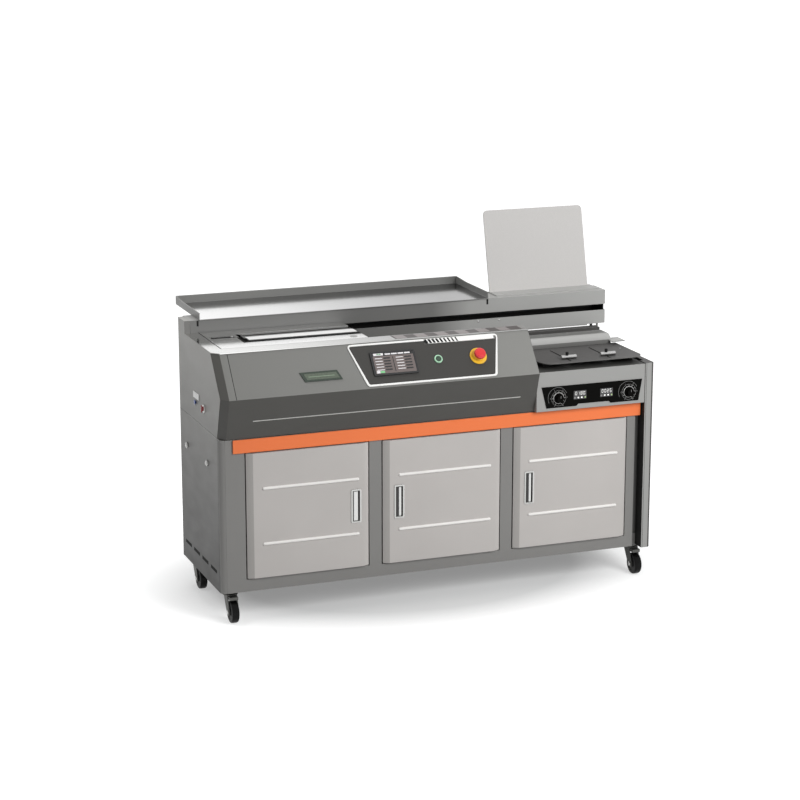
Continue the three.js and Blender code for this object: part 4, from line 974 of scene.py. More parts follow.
class BINDER_OT_doors(bpy.types.Operator):
    """Makes the doors with their raised ribs and seals"""
    bl_idname = "binder.doors"
    bl_label = "Doors"

    def execute(self, context):
        for side in ("left", "middle", "right"):
            self.door(side, context.scene.binder_sizes)
        return {"FINISHED"}

    def door(self, side, sizes):
        """The sheet ends short of the hinge pins, above and below."""
        body = f"door_{side}"
        low, high = drawn(body)
        pin, face, radius = 8, 10, 5.2
        low.z += pin
        high.z -= pin
        panel = skin(body, "door_paint", sizes.fold, 30)
        paint_where(panel, "door_shade", lambda f: -0.6 < f.normal.x < -0.1 and f.normal.y < -0.5)
        # Painted shade: the door's side walls take the dark table grey, for the shade in the gap to the frame
        paint_where(panel, "table_paint", lambda f: abs(f.normal.x) > 0.95 and spot(f).y < 9)
        ribs = [
            capsule(f"rib_{side}", (low.x + 53, z, face), (high.x - 36, z, face), radius)
            for z in (low.z + 117, high.z - 121)
        ]
        # Painted highlight: the ribs are near-white, as where their tops catch the light
        dress(joined(f"door_ribs_{side}", ribs), body, "rib_enamel", FRONT)
        near, far, back = 14, 19, -high.y
        strips = [
            (low.x + near, low.z + near, low.x + far, high.z - near),
            (high.x - far, low.z + near, high.x - near, high.z - near),
            (low.x + far, low.z + near, high.x - far, low.z + far),
            (low.x + far, high.z - far, high.x - far, high.z - near),
        ]
        seal = [((x, z, back - 1.6), (end, top, back + 0.4)) for x, z, end, top in strips]
        blocks(f"door_seal_{side}", body, "black_plastic", seal, 0.7, FRONT)


class BINDER_OT_pulls(bpy.types.Operator):
    """Makes the recessed pulls: a flanged cup with a round-edged grip bar"""
    bl_idname = "binder.pulls"
    bl_label = "Door pulls"

    def execute(self, context):
        for side in ("left", "middle", "right"):
            self.pull(side)
        return {"FINISHED"}

    def pull(self, side):
        """The cup's flange lies on the door, a grip bar stands in the cup, and a dark block paints the shade
        in its hollow.
        """
        node, body = f"door_pull_{side}", f"door_{side}"
        low, high = drawn(node)
        front, foot, deep = -low.y, -low.y - 2.5, -high.y
        cup = rounded(f"door_pull_cup_{side}", (low.x, low.z, foot), (high.x, high.z, front), 5, 5)
        edit(cup)
        pick("faces", lambda f: f.normal.z < -0.9)
        inset(2.6)
        pushed((0, 0, deep - foot))
        pick("faces", upward)
        inset(1)
        inset(4.3, -0.6)
        pushed((0, 0, deep - front + 3.6))
        leave()
        dress(soften(cup, 0.5 * MM, 2, 30), body, "zinc", FRONT, [node])
        left, right = (low.x + 8.5, low.x + 25) if side == "left" else (low.x + 16, low.x + 26)
        grip = [((left, low.z + 6, front - 7), (right, high.z - 6, front - 0.2))]
        blocks(f"door_grip_{side}", body, "grip_bar", grip, 3.4, FRONT, 5)
        # Painted shade: a dark block fills the cup beside the grip bar, for the shade in its hollow
        pull_shade = [((low.x + 5.5, low.z + 5.5, deep + 4), (left + 1, high.z - 5.5, front - 2.4))]
        blocks(f"door_pull_hollow_{side}", body, "cup_dark", pull_shade, 0.6, FRONT)


# Console


class BINDER_OT_console(bpy.types.Operator):
    """Finishes the console in its greys, which carry painted light and shade, with the panel seam and the
    light strip
    """
    bl_idname = "binder.console"
    bl_label = "Console"

    def execute(self, context):
        sizes = context.scene.binder_sizes
        piece = skin("console_shell", "lower_console", sizes.fold)
        out = SLOPE.to_3x3() @ Vector(UP)
        groove(piece, 48, 48 + sizes.groove / MM * 1.3, 0, out, 0.8)
        above = lambda f: spot(f).z > KNEE
        bare = lambda f: f.normal.dot(out) > 0.93 and f.material_index == 0
        # The upper faces take the upper grey, with painted light that makes it lighter towards the right
        paint_where(piece, "upper_console", lambda f: above(f) and bare(f))
        paint_where(piece, "upper_console", lambda f: above(f) and f.normal.x > 0.9)
        # Painted shade: the chamfer facing left takes a darker grey
        paint_where(piece, "console_edge", lambda f: above(f) and f.normal.x < -0.3 and f.normal.z > 0.1)
        left, right, low, high = 110, 1057, 62.8, 65.8
        strip = rounded("console_strip", (left, low, -0.3), (right, high, 0.7), 1.4, 4)
        dress(soften(strip, 0.3 * MM), "cabinet", "strip_enamel", LOWER)
        return {"FINISHED"}


class BINDER_OT_controls(bpy.types.Operator):
    """Finishes the control panel, its trim with the slashes, and the status window"""
    bl_idname = "binder.controls"
    bl_label = "Control panel"

    def execute(self, context):
        edge = context.scene.binder_sizes.edge
        skin("control_panel", "dark_plate", edge)
        skin("control_trim", "white_plastic", edge)
        self.slashes()
        skin("status_window", "green_window", edge)
        self.window(left=290, low=43, glass=3.3)
        return {"FINISHED"}

    def slashes(self):
        """Nine leaning marks on the wide part of the trim, each narrower than the one before."""
        first, pitch, count, low, high, face, lean = 736, 14, 9, 146, 161.5, 4, -6.5
        marks = []
        for i in range(count):
            x = first + i * pitch
            start, end = (x, low, face - 0.2), (x + 10 - 0.6 * i, high, face + 0.25)
            marks.append(slanted(f"slash_{i}", start, end, lean, 0.15))
        dress(joined("trim_slashes", marks), "cabinet", "black_plastic", SLOPE)

    def window(self, left, low, glass):
        """A lighter pane with one line across it, on the glass."""
        start, end = (left + 8, low + 6, glass - 0.2), (left + 120, low + 28, glass + 0.25)
        dress(slanted("status_window_pane", start, end, -8.8, 0.2), "cabinet", "window_inner", SLOPE)
        start, end = (left + 14, low + 15.5, glass), (left + 104, low + 17.5, glass + 0.4)
        dress(slanted("status_window_line", start, end, -0.8, 0.1), "cabinet", "window_line", SLOPE)


class BINDER_OT_screen(bpy.types.Operator):
    """Makes the touch screen: a black bezel, its glass, and a picture of plain bars"""
    bl_idname = "binder.screen"
    bl_label = "Touch screen"

    def execute(self, context):
        body = frame["nodes"]["touch_screen"]["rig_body"]
        left, right, low, high, face, sunk = 529, 687, 41, 129, ON_PANEL + 5, 0.8
        bezel = rounded("touch_screen_bezel", (left, low, ON_PANEL), (right, high, face), 4, 4)
        edit(bezel)
        pick("faces", upward)
        inset(5)
        pushed((0, 0, -sunk))
        leave()
        dress(soften(bezel, 0.5 * MM, 2, 30), "cabinet", "screen", SLOPE, ["touch_screen"])
        picture = face - sunk
        field = [((left + 8, low + 7, picture - 0.1), (right - 7, high - 17, picture + 0.15))]
        blocks("screen_field", "cabinet", "picture", field, 0.05, SLOPE)
        top = high - 15
        cells = [(x, i * 10.5) for x in (left + 14, left + 88) for i in range(5)]
        tiles = {
            "picture_light": [
                (left + 12, top, 34, 8), *[(left + 52 + i * 23, top + 1, 20, 5) for i in range(4)],
                *[(x, high - 27 - drop, 26, 2.6) for x, drop in cells], (left + 11, low + 8.5, 12, 9),
            ],
            "picture_green": [(left + 22, top + 1.5, 16, 5.5), (left + 24, low + 9, 15, 7)],
            "screen": [
                *[(x + 30, high - 28.4 - drop, 24, 5.4) for x, drop in cells], (left + 76, low + 12, 3, 54),
            ],
        }
        for finish, places in tiles.items():
            raised = picture + (0.3 if finish == "screen" else 0.45)
            bars = [((x, y, picture), (x + w, y + h, raised)) for x, y, w, h in places]
            blocks(f"screen_{finish}", body, finish, bars, 0.08, SLOPE, 1)
        return {"FINISHED"}


START_PLACE = (766, 85, ON_PANEL)
STOP_PLACE = (910, 84, ON_PANEL)


class BINDER_OT_buttons(bpy.types.Operator):
    """Makes the start button and the emergency stop"""
    bl_idname = "binder.buttons"
    bl_label = "Buttons"

    def execute(self, context):
        self.start(START_PLACE)
        self.stop(STOP_PLACE)
        return {"FINISHED"}

    def start(self, centre):
        """A dark button with a dished top, in a pale green ring."""
        bezel = turned("start_bezel_ring", centre, [
            (14.7, 0), (14.7, 3), (14.2, 4.2), (12.8, 5), (10.8, 5), (10.1, 4.4), (9.8, 3.4), (9.8, 0.6),
        ], 64)
        dress(bezel, "cabinet", "green_ring", SLOPE, ["start_bezel"], 50)
        button = turned("start_button_cap", centre, [
            (9.2, 3.8), (9.4, 4.2), (9.4, 6.2), (8.9, 6.8), (7.6, 7), (6.9, 6.6), (3, 6.4),
        ])
        dress(button, "start_button", "button_dark", SLOPE, ["start_button"], 40)

    def stop(self, centre):
        """A red mushroom on a yellow collar with a raised neck."""
        collar = turned("estop_collar_plate", centre, [
            (29.4, 0), (30, 0.6), (30, 2.4), (29.4, 3), (27.5, 3), (27, 2.7), (17.5, 2.7), (16.5, 3.2),
            (15, 4.4), (15, 9.4), (14.4, 10), (11.6, 10), (11.4, 9.6), (11.4, 1),
        ], 72)
        dress(collar, "cabinet", "yellow", SLOPE, ["estop_collar"], 45)
        head = turned("estop_mushroom", centre, [
            (10.8, 6.2), (11, 6.5), (11, 15.4), (12, 16), (19.2, 16), (19.9, 16.6), (20, 18), (20, 22),
            (19.7, 23.4), (19, 24.8), (17.6, 26.4), (15.4, 27.7), (12, 28.6), (8, 28.95), (4, 29), (1, 29),
        ], 72)
        dress(head, "estop_button", "red", SLOPE, ["estop_button"], 50)


# Deck, clamp and beam


class BINDER_OT_deck(bpy.types.Operator):
    """Finishes the deck and the stations under the clamp's path"""
    bl_idname = "binder.deck"
    bl_label = "Deck"

    def execute(self, context):
        edge = context.scene.binder_sizes.edge
        # Painted shade and reflection: the deck steel darkens towards the right
        deck = skin("top_deck", "deck_steel", edge)
        paint_where(deck, "side_paint", lambda f: f.normal.x < -0.3 and spot(f).x < 30)
        # Painted shade: the work plate under the deck is near-black
        skin("work_plate", "inside_paint", edge)
        skin("glue_tank", "zinc", edge)
        skin("milling_motor", "black_plastic", edge)
        self.strips()
        self.roller()
        self.mill()
        return {"FINISHED"}

    def strips(self):
        """A plain strip of fields beside the stations, and the seams round the clamp's carriage."""
        top = drawn("top_deck")[1].z
        low, high = drawn("clamp_carriage")
        sunk, first, pitch, wide, count = top - 0.4, 642, 75, 38, 6
        fields = [(first + pitch * i, first + pitch * i + wide) for i in range(count)]
        strips = {
            ("field_strip", "strip_dark"): [((636, 60, sunk), (1098, 114, top + 0.2))],
            ("strip_fields", "strip_pale"): [
                ((left, 62, top), (right, 112, top + 0.35)) for left, right in fields
            ],
            ("deck_seam_left", "black_plastic"): [
                ((low.x - 3.9, low.y, sunk), (low.x - 0.6, 387, top + 0.12)),
            ],
            ("deck_seam_front", "ink_grey"): [
                ((low.x, low.y - 2.8, sunk), (high.x, low.y - 1.1, top + 0.12)),
            ],
        }
        for (name, finish), corners in strips.items():
            blocks(name, "cabinet", finish, corners, 0.1)

    def roller(self):
        """The glue drum, with a shallow thread round it and a shoulder at each end."""
        low, high = drawn("glue_roller")
        half, end, count = 42, (high.y - low.y) / 2, 13
        shoulder = [(5.6, -end), (6, -end + 0.6), (6, -half), (23.5, -half), (25, -half + 1.5)]
        thread = []
        for i in range(count):
            height = -half + 4 + (2 * half - 8) * i / (count - 1)
            thread += [(25, height - 1.2), (24.2, height), (25, height + 1.2)]
        drum = turned("glue_drum", ORIGIN, shoulder + thread + mirrored(shoulder), 64)
        spindle = board(middle_of("glue_roller"), RIGHT, UP)
        dress(drum, "glue_roller", "roller_metal", spindle, ["glue_roller"], 30)

    def mill(self):
        """The milling disc: a hub, a row of cutting teeth and a bevelled rim."""
        foot, top = (corner.z for corner in drawn("milling_disc"))
        x, y = middle_of("milling_disc").xy
        disc = turned("mill_disc", (x, y, 0), [
            (8.6, foot), (9, foot + 0.5), (9, top - 10), (53.6, top - 10), (55, top - 8.6), (55, top - 2.2),
            (53.4, top - 0.8), (30, top - 0.8), (28, top - 2.4), (16, top - 2.4), (15.4, top - 0.4),
            (14.8, top), (7, top), (6.6, top - 2),
        ], 72)
        dress(disc, "milling_disc", "brushed", FLAT, ["milling_disc"], 30)
        tooth = block("tooth", (41, -2.2, top - 2.4), (51, 2.2, top - 0.1), 0.4)
        count = 12
        teeth = set_out("mill_cutters", tooth, [((x, y, 0), TURN * i / count) for i in range(count)])
        dress(teeth, "milling_disc", "chrome")


class BINDER_OT_clamp(bpy.types.Operator):
    """Finishes the clamp carriage and its sliding jaw"""
    bl_idname = "binder.clamp"
    bl_label = "Clamp"

    def execute(self, context):
        edge = context.scene.binder_sizes.edge
        self.carriage(edge)
        self.jaw(edge)
        return {"FINISHED"}

    def carriage(self, edge):
        """Dark lips and rims edge the carriage's two openings, as painted shade that widens their dark gaps.
        """
        high = drawn("clamp_carriage")[1]
        top = high.z
        # Painted shade and reflection: the carriage steel darkens a little towards the right
        carriage = skin("clamp_carriage", "carriage_steel", edge)
        left, right, near, far = 60, 146, 278, 296
        sunk, raised = top - 0.4, top + 0.2
        slot = lambda p: left < p.x < right and near < p.y < far
        # Painted shade: the slot's walls are black
        paint_where(carriage, "panel_black", lambda f: abs(f.normal.z) < 0.3 and slot(spot(f)))
        # Painted shade: black lips widen the dark gap before and beside the jaw's opening
        lip_shades = [
            ((147, 184, sunk), (high.x - 0.6, 206.4, raised)),
            ((147, 206, sunk), (156.2, 268, raised)),
        ]
        blocks("carriage_lip", "clamp", "panel_black", lip_shades, 0.1)
        # Painted shade: black rims widen the slot's dark
        rim_shades = [((left, y, sunk), (right, y + 6, top + 0.15)) for y in (274.7, 293.3)]
        blocks("slot_rims", "clamp", "panel_black", rim_shades, 0.1)
        plug = turned("carriage_plug", (520, 150, top), [
            (13, -0.5), (13, 0.4), (12.4, 0.9), (10.6, 0.9), (10.2, 0.3), (4, 0.2),
        ], 40)
        dress(plug, "clamp", "zinc")
        pin = turned("slot_pin", (136, 287, top), [
            (4.6, -2.5), (4.6, 1.6), (4.1, 2.3), (2.4, 2.3), (2.2, 1.2),
        ], 32)
        dress(pin, "clamp", "chrome")

    def jaw(self, edge):
        """A bright bar over the jaw, near-white with a painted highlight, a pad on its inner face, a strip
        along its front, and painted shade on the top behind the bar.
        """
        low, high = drawn("clamp_jaw")
        left, right, bright = low.x + 4, high.x - 4, low.y + 63
        jaw = skin("clamp_jaw", "black_plastic", edge)
        cut_across(jaw, 1, bright)
        # Painted shade: the jaw's top behind the bar is darker
        paint_where(jaw, "dark_top", lambda f: upward(f) and spot(f).y > bright)
        # Painted highlight: the bar is near-white where it catches the light
        bar = [((left, low.y + 16, high.z - 4.2), (right, bright, high.z + 0.15))]
        blocks("jaw_bar", "jaw", "bar_enamel", bar, 0.6)
        pad = [((left, high.y - 1.2, low.z + 6), (right, high.y + 0.1, high.z - 8))]
        blocks("jaw_pad", "jaw", "black_plastic", pad, 0.5)
        strip = [((low.x, low.y - 4.5, high.z - 6), (high.x, low.y + 0.2, high.z - 1))]
        blocks("jaw_front_strip", "jaw", "black_plastic", strip, 0.8)


class BINDER_OT_beam(bpy.types.Operator):
    """Finishes the rear beam, its slot, rail, posts and fixings"""
    bl_idname = "binder.beam"
    bl_label = "Rear beam"

    def execute(self, context):
        sizes = context.scene.binder_sizes
        low, high = drawn("rear_beam")
        piece = skin("rear_beam", "beam_paint", sizes.fold)
        deck = drawn("top_deck")[1].z
        bottom, post, front = deck - 78, 1533, -low.y
        below = lambda p: p.z < bottom - 1
        inside = lambda p: (
            low.y + 1 < p.y < low.y + 92 and bottom + 1 < p.z < deck + 42 and p.x < high.x - 1
        )
        paint_where(piece, "black_plastic", lambda f: below(spot(f)) and spot(f).x < post)
        paint_where(piece, "post_grey", lambda f: below(spot(f)) and spot(f).x > post)
        # Painted shade: the faces inside the beam's trough are near-black
        paint_where(piece, "inside_paint", lambda f: inside(spot(f)))
        skin("guide_rail", "rail_steel", sizes.edge)
        # Painted shade: the beam's front darkens on the left, under the tray
        paint_where(piece, "beam_front", lambda f: f.normal.y < -0.9 and abs(spot(f).y - low.y) < 1)
        seal = [((1118, 391, bottom - 4), (1500, 396, bottom + 0.5))]
        blocks("beam_lower_seal", "cabinet", "beam_paint", seal, 0.4)
        points = [(x, deck - 37, front) for x in (1073, 1153)]
        screws("beam_screws", "cabinet", 3.4, 1.4, points, FRONT, "chrome")
        # Painted shadow: black blocks fill the gaps at the tray's two ends
        gap_shades = [((x, deck + 22, front - 0.6), (x + 7, deck + 41, front + 0.5)) for x in (43, 1104)]
        blocks("beam_notches", "cabinet", "black_plastic", gap_shades, 0.4, FRONT)
        return {"FINISHED"}


class BINDER_OT_tray(bpy.types.Operator):
    """Finishes the book tray with its folded hems, and its bracket"""
    bl_idname = "binder.tray"
    bl_label = "Book tray"

    def execute(self, context):
        sizes = context.scene.binder_sizes
        low, high = drawn("book_tray")
        tray = skin("book_tray", "tray_steel", sizes.edge / 2)
        floor = low.z + 3.2
        paint_where(tray, "tray_wall", lambda f: spot(f).z > floor or f.normal.z < -0.5)
        skin("tray_bracket", "grey_paint", sizes.edge)
        side, top, back, radius, sides = low.z + 23.6, high.z - 1.6, high.y - 99, 1.55, 12
        runs = [((low.x + 1.5, high.y - 1.6, top), (high.x - 1.5, high.y - 1.6, top))]
        for x in (low.x + 1.3, high.x - 1.3):
            runs.append(((x, low.y + 0.5, side), (x, back, side)))
            runs.append(((x, back, side), (x, high.y - 1.5, top)))
        hems = [capsule(f"hem_{i}", start, end, radius, sides) for i, (start, end) in enumerate(runs)]
        dress(joined("tray_hems", hems), "cabinet", "light_paint")
        return {"FINISHED"}


class BINDER_OT_rest(bpy.types.Operator):
    """Makes the frosted rest plate in its holder"""
    bl_idname = "binder.rest"
    bl_label = "Rest plate"

    def execute(self, context):
        skin("rest_plate", "frosted", context.scene.binder_sizes.fold)
        return {"FINISHED"}


# Cover station


def dial_centre(side):
    """The place of a dial across and up the front."""
    return middle_of(f"dial_{side}").x, drawn("knob_panel")[0].z + 33


class BINDER_OT_station(bpy.types.Operator):
    """Finishes the housing and the knob panel with its printed scales"""
    bl_idname = "binder.station"
    bl_label = "Cover station"

    def execute(self, context):
        sizes = context.scene.binder_sizes
        housing = skin("station_housing", "light_paint", sizes.fold)
        paint_where(housing, "top_shade", upward)
        skin("knob_panel", "panel_black", sizes.edge)
        for side in ("left", "right"):
            self.scale(side)
        return {"FINISHED"}

    def scale(self, side):
        """Two rings, an arc, a row of marks and every second mark's plain number round a dial."""
        x, z = dial_centre(side)
        face = -drawn("knob_panel")[0].y
        line = face + 0.05
        dress(ring(f"dial_ring_{side}", (x, z, line), 19, 1.5), "cabinet", "ink_white", FRONT)
        dress(ring(f"dial_halo_{side}", (x, z, line), 27, 0.9), "cabinet", "ink_grey", FRONT)
        arc = ring(f"dial_arc_{side}", (x - 4, z + 2, line), 36, 0.9)
        dress(trimmed(arc, (x, z + 2, face), (0.5, -1, 0)), "cabinet", "ink_grey", FRONT)
        count, sweep, far = 11, math.radians(300), 31
        turns = [sweep / 2 - sweep * i / (count - 1) for i in range(count)]
        mark = block("mark", (-0.5, 21.5, 0), (0.5, 24.6, 0.18), 0.05, 1)
        marks = set_out(f"dial_marks_{side}", mark, [((x, z, face), turn) for turn in turns])
        dress(marks, "cabinet", "ink_white", FRONT)
        numbers = [
            number(f"number_{i}", str(i), (x - far * math.sin(turn), z + far * math.cos(turn), face), 4)
            for i, turn in list(enumerate(turns))[::2]
        ]
        dress(joined(f"dial_numbers_{side}", numbers), "cabinet", "ink_grey", FRONT)


class BINDER_OT_dials(bpy.types.Operator):
    """Makes the two fluted dials with their pointers"""
    bl_idname = "binder.dials"
    bl_label = "Dials"

    def execute(self, context):
        for side in ("left", "right"):
            self.dial(f"dial_{side}", side, *dial_centre(side), -drawn(f"dial_{side}")[1].y)
        return {"FINISHED"}

    def dial(self, node, side, x, z, foot):
        """A skirted knob with a fluted grip and a line on its face."""
        knob = turned(f"dial_knob_{side}", (x, z, foot), [
            (17.6, 0), (18, 0.5), (18, 2.2), (17.2, 3), (13.6, 3.4), (13, 4.2), (12.6, 16.6), (11.4, 17.8),
            (9.4, 18), (9, 17.3), (2, 17.3),
        ])
        fluted(knob, x, z, 48, foot + 5, foot + 16, 0.16, 0.93)
        dress(knob, node, "panel_black", FRONT, [node], 30)
        pointer = [((x - 0.7, z + 2.5, foot + 17), (x + 0.7, z + 10.5, foot + 18.4))]
        blocks(f"dial_pointer_{side}", node, "ink_grey", pointer, 0.25, FRONT)


# The bars of a seven-segment digit, as shares of its width and height
BARS = {
    "top": (0.1, 0.93, 0.9, 1), "middle": (0.1, 0.465, 0.9, 0.535), "bottom": (0.1, 0, 0.9, 0.07),
    "upper_left": (0, 0.53, 0.14, 0.95), "upper_right": (0.86, 0.53, 1, 0.95),
    "lower_left": (0, 0.05, 0.14, 0.47), "lower_right": (0.86, 0.05, 1, 0.47),
}
# The bars that each digit leaves out
DARK_BARS = {
    "0": ("middle",),
    "1": ("top", "middle", "bottom", "upper_left", "lower_left"),
    "2": ("upper_left", "lower_right"),
    "5": ("upper_right", "lower_left"),
    "8": (),
}


class BINDER_OT_readouts(bpy.types.Operator):
    """Makes the readouts: a dark window with lit digits over a row of lamps"""
    bl_idname = "binder.readouts"
    bl_label = "Readouts"

    def execute(self, context):
        for side, text in (("left", "0180"), ("right", "0025")):
            self.readout(side, text)
        return {"FINISHED"}

    def readout(self, side, text):
        """Lit digits in the upper part of the window, and four lamps under them."""
        low, high = drawn(f"readout_{side}")
        foot, face = -high.y, -high.y + 2
        window = rounded(f"readout_window_{side}", (low.x, low.z, foot), (high.x, high.z, face), 1.5, 3)
        dress(soften(window, 0.4 * MM), "cabinet", "screen", FRONT, [f"readout_{side}"])
        bars, wide, tall, pitch, base = [], 6.4, 11, 10, low.z + 15
        first = (low.x + high.x - (len(text) - 1) * pitch - wide) / 2
        for place, digit in enumerate(text):
            x = first + place * pitch
            for bar, (left, foot, right, top) in BARS.items():
                if bar not in DARK_BARS[digit]:
                    corner = (x + left * wide, base + foot * tall, face - 0.1)
                    bars.append((corner, (x + right * wide, base + top * tall + 0.5, face + 0.2)))
        blocks(f"readout_digits_{side}", "cabinet", "lamp_white", bars, 0.1, FRONT, 1)
        gap = 13
        first = (low.x + high.x - 3 * gap) / 2
        for i, finish in enumerate(("lamp_grey", "lamp_white", "lamp_white", "lamp_green")):
            lamp = turned(f"lamp_{side}_{i}", (first + i * gap, low.z + 5.5, face), [
                (2.9, -0.2), (2.9, 0.4), (2.4, 0.5), (2.3, 0.9), (1.7, 1.3), (0.6, 1.5),
            ], 24)
            dress(lamp, "cabinet", finish, FRONT)


class BINDER_OT_table(bpy.types.Operator):
    """Finishes the cover table, and makes its stop bars and thumb screws"""
    bl_idname = "binder.table"
    bl_label = "Cover table"

    def execute(self, context):
        low, high = drawn("cover_table")
        table = skin("cover_table", "table_paint", context.scene.binder_sizes.edge)
        # Painted highlight: the table's front lip takes the lighter hood grey
        paint_where(table, "hood_paint", lambda f: f.normal.y < -0.5 and spot(f).z > low.z + 15)
        for side in ("left", "right"):
            self.stop(side)
        points = [(x, 150, high.z) for x in (low.x + 27, high.x - 27)]
        screws("table_screws", "cabinet", 4, 1, points)
        return {"FINISHED"}

    def stop(self, side):
        """A bar that slides in its slot, held by a fluted thumb screw."""
        skin(f"stop_bar_{side}", "stop_chrome", 0.3 * MM, 50)
        node = f"stop_screw_{side}"
        foot, top = (corner.z for corner in drawn(node))
        x, y = middle_of(node).xy
        knob = turned(f"thumb_screw_{side}", (x, y, 0), [
            (4.2, foot), (4.4, foot + 0.4), (4.4, top - 10.4), (5.1, top - 9.8), (5.3, top - 9),
            (5.3, top - 2), (4.9, top - 0.8), (4, top - 0.2), (2.6, top), (2.2, top - 1.2),
        ], 24)
        fluted(knob, x, y, 24, top - 9, top - 2, 0.1, 0.92)
        dress(knob, f"screw_{side}", "black_plastic", FLAT, [node], 30)


class BINDER_OT_nips(bpy.types.Operator):
    """Finishes the plates that press the cover on"""
    bl_idname = "binder.nips"
    bl_label = "Nip plates"

    def execute(self, context):
        sizes = context.scene.binder_sizes
        low, high = drawn("front_nip_plate")
        hood = skin("front_nip_plate", "hood_paint", sizes.edge, 45)
        lit, foot, pitch, back = low.y + 57, high.z - 24, 100, 304
        # Painted highlight: the front of the rolled top takes the light beam grey, and the top behind it
        # keeps the darker hood grey as painted shade
        cut_across(hood, 1, lit)
        paint_where(hood, "beam_paint", lambda f: f.normal.z > 0.3 and spot(f).z > foot and spot(f).y < lit)
        # Painted shade: the rear nip plate takes the dark table grey
        skin("rear_nip_plate", "table_paint", sizes.edge)
        points = [(low.x + 30 + i * pitch, back, high.z) for i in range(4)]
        screws("nip_screws", "front_nip", 3.4, 1, points)
        return {"FINISHED"}


# Castors and the fittings on the left side


class BINDER_OT_castors(bpy.types.Operator):
    """Makes the castors: pressed forks, rubber tyres on grey hubs, and their nuts"""
    bl_idname = "binder.castors"
    bl_label = "Castors"

    def execute(self, context):
        for where in ("front_left", "front_right", "rear_left", "rear_right"):
            self.castor(where, f"castor_{where}", f"wheel_{where}")
        return {"FINISHED"}

    def castor(self, where, body, node):
        """The wheel's profile runs from end to end of its axle."""
        x, y, z = centre = middle_of(node)
        axle = board(centre, (0, 1, 0), UP)
        half = [
            (4.4, -21.3), (5, -20.8), (5, -13.4), (10.6, -13.2), (11.6, -12.4), (12.4, -11.4), (24.6, -11),
            (25.6, -12.3), (27, -12.5), (33.4, -12.5), (35.6, -11.6), (37, -9.2), (37.5, -5.6),
        ]
        wheel = turned(f"wheel_body_{where}", ORIGIN, half + mirrored(half), 64)
        dress(wheel, node, "tyre", axle, [node], 38)
        hole, hub = 5.2, 26.4
        reach = lambda f: (f.center - at(x, y, z)).yz.length / MM
        paint_where(wheel, "hub_grey", lambda f: hole < reach(f) < hub)
        paint_where(wheel, "zinc", lambda f: reach(f) <= hole)
        skin(f"fork_{where}", "fork_steel", 0.7 * MM)
        wide, deep, foot, top = 14.8, 15, 79.5, 91.5
        crown = [((x - wide, y - deep, foot), (x + wide, y + deep, top))]
        blocks(f"fork_crown_{where}", body, "fork_steel", crown, 2.4)
        nuts = [self.nut(turn) for turn in (math.pi, 0)]
        dress(joined(f"axle_nuts_{where}", nuts), body, "chrome", axle)

    def nut(self, turn):
        """A nut at the end of the axle, with a dished face."""
        nut = turned("nut", ORIGIN, [(7.2, 17.7), (7.6, 18.1), (7.6, 20.2), (6.9, 20.8)], 6)
        edit(nut)
        pick("faces", upward)
        inset(1.2, -0.5)
        leave()
        nut.matrix_world = Matrix.Rotation(turn, 4, "Y")
        return settled(nut)


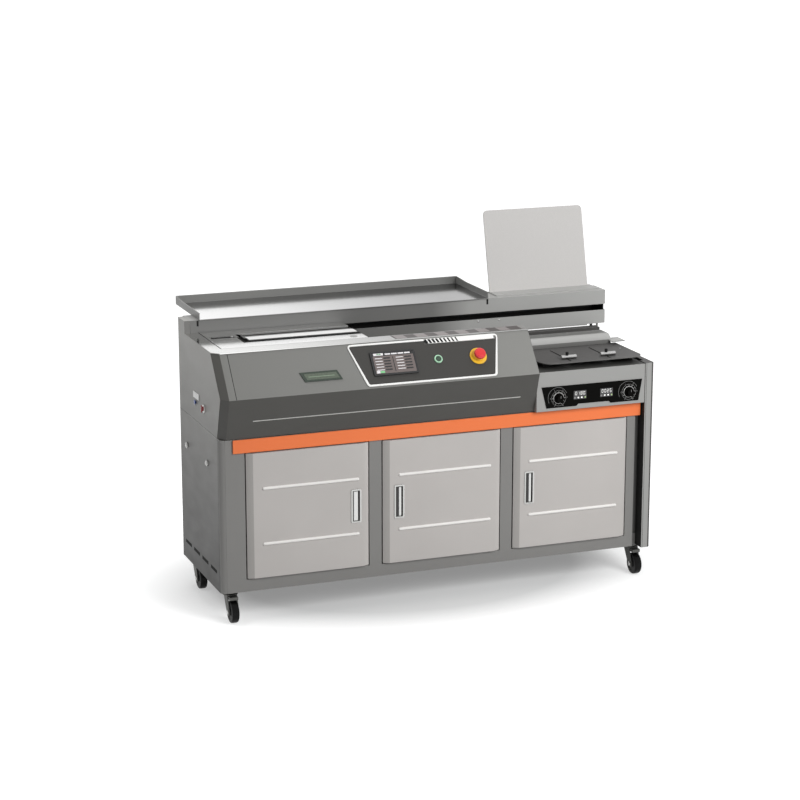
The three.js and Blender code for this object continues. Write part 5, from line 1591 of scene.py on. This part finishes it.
class BINDER_OT_side_fittings(bpy.types.Operator):
    """Makes the plate, button, rotary switch and cam locks on the left side"""
    bl_idname = "binder.side_fittings"
    bl_label = "Side fittings"

    def execute(self, context):
        skin("side_plate", "white_plastic", 0.5 * MM)
        self.button(*self.place("side_button"))
        self.switch(*self.place("main_switch"))
        for where in ("front", "rear"):
            self.lock(where, *self.place(f"side_lock_{where}"))
        return {"FINISHED"}

    def place(self, node):
        """The middle of a solid on the side's board."""
        middle = middle_of(node)
        return -middle.y, middle.z

    def button(self, x, z):
        """A blue cap on a stem that passes into the panel."""
        cap = turned("side_button_cap", (x, z, 0), [
            (3.8, -8), (3.8, 3.3), (7.6, 3.3), (8, 3.7), (8, 6), (7.4, 6.7), (5, 7), (4.4, 6.7), (1, 6.5),
        ], 40)
        dress(cap, "side_button", "blue", SIDE, ["side_button"])

    def switch(self, x, z):
        """A round base with a ridge across it, and a white line on the ridge."""
        base = turned("switch_base", (x, z, 0), [
            (14, 0.3), (14, 2.4), (13.2, 3.3), (10, 3.3), (9.4, 3), (8.4, 3), (8, 3.4), (8, 7.4),
            (7.6, 8), (2, 8),
        ])
        handle = block("switch_handle", (x - 3, z - 12, 7), (x + 3, z + 12, 10.8), 1.2, 3)
        knob = joined("switch_knob", [base, handle])
        dress(knob, "main_switch", "switch_red", SIDE, ["main_switch"])
        paint_where(knob, "zinc", lambda f: spot(f).x > -3.35)
        line = [((x - 0.5, z + 3, 10.6), (x + 0.5, z + 10.5, 10.95))]
        blocks("switch_line", "main_switch", "ink_white", line, 0.1, SIDE)

    def lock(self, where, x, z):
        """A barrel with a key slot, standing out of a round flange."""
        body = f"side_lock_{where}"
        barrel = turned(f"cam_lock_{where}", (x, z, 0), [
            (6.3, -7.5), (6.3, 0.3), (9.6, 0.3), (10, 0.7), (10, 4.6), (9.2, 5.7), (7.4, 6), (6.9, 5.7),
            (6.5, 5.9), (6.3, 7.7), (5.9, 8), (1, 8),
        ])
        dress(barrel, body, "zinc", SIDE, [body])
        # Painted shade: a black block on the barrel stands for the key slot's depth
        slot = [((x - 0.7, z - 3.4, 7.6), (x + 0.7, z + 3.4, 8.08))]
        blocks(f"key_slot_{where}", body, "black_plastic", slot, 0.05, SIDE)


class BINDER_PT_panel(bpy.types.Panel):
    """Lists the machine's finishing steps"""
    bl_label = "Binding machine"
    bl_idname = "BINDER_PT_panel"
    bl_space_type = "VIEW_3D"
    bl_region_type = "UI"
    bl_category = "Binder"

    def draw(self, context):
        for step in STEPS:
            self.layout.operator(step.bl_idname)


STEPS = (
    BINDER_OT_stage, BINDER_OT_cabinet, BINDER_OT_doors, BINDER_OT_pulls, BINDER_OT_console,
    BINDER_OT_controls, BINDER_OT_screen, BINDER_OT_buttons, BINDER_OT_deck, BINDER_OT_clamp,
    BINDER_OT_beam, BINDER_OT_tray, BINDER_OT_rest, BINDER_OT_station, BINDER_OT_dials,
    BINDER_OT_readouts, BINDER_OT_table, BINDER_OT_nips, BINDER_OT_castors, BINDER_OT_side_fittings,
)
GROUPS = {"binder_colours": BinderColours, "binder_sizes": BinderSizes, "binder_stage": BinderStage}


def register():
    for kind in (*GROUPS.values(), *STEPS, BINDER_PT_panel):
        bpy.utils.register_class(kind)
    for name, group in GROUPS.items():
        setattr(bpy.types.Scene, name, bpy.props.PointerProperty(type=group))


def unregister():
    for name in GROUPS:
        delattr(bpy.types.Scene, name)
    for kind in (BINDER_PT_panel, *reversed(STEPS), *reversed(GROUPS.values())):
        bpy.utils.unregister_class(kind)


def main():
    register()
    scene = bpy.context.scene
    scene.view_settings.view_transform = "Standard"
    make_materials(scene.binder_colours)
    for step in STEPS:
        group, name = step.bl_idname.split(".")
        getattr(getattr(bpy.ops, group), name)()


if __name__ == "__main__":
    main()
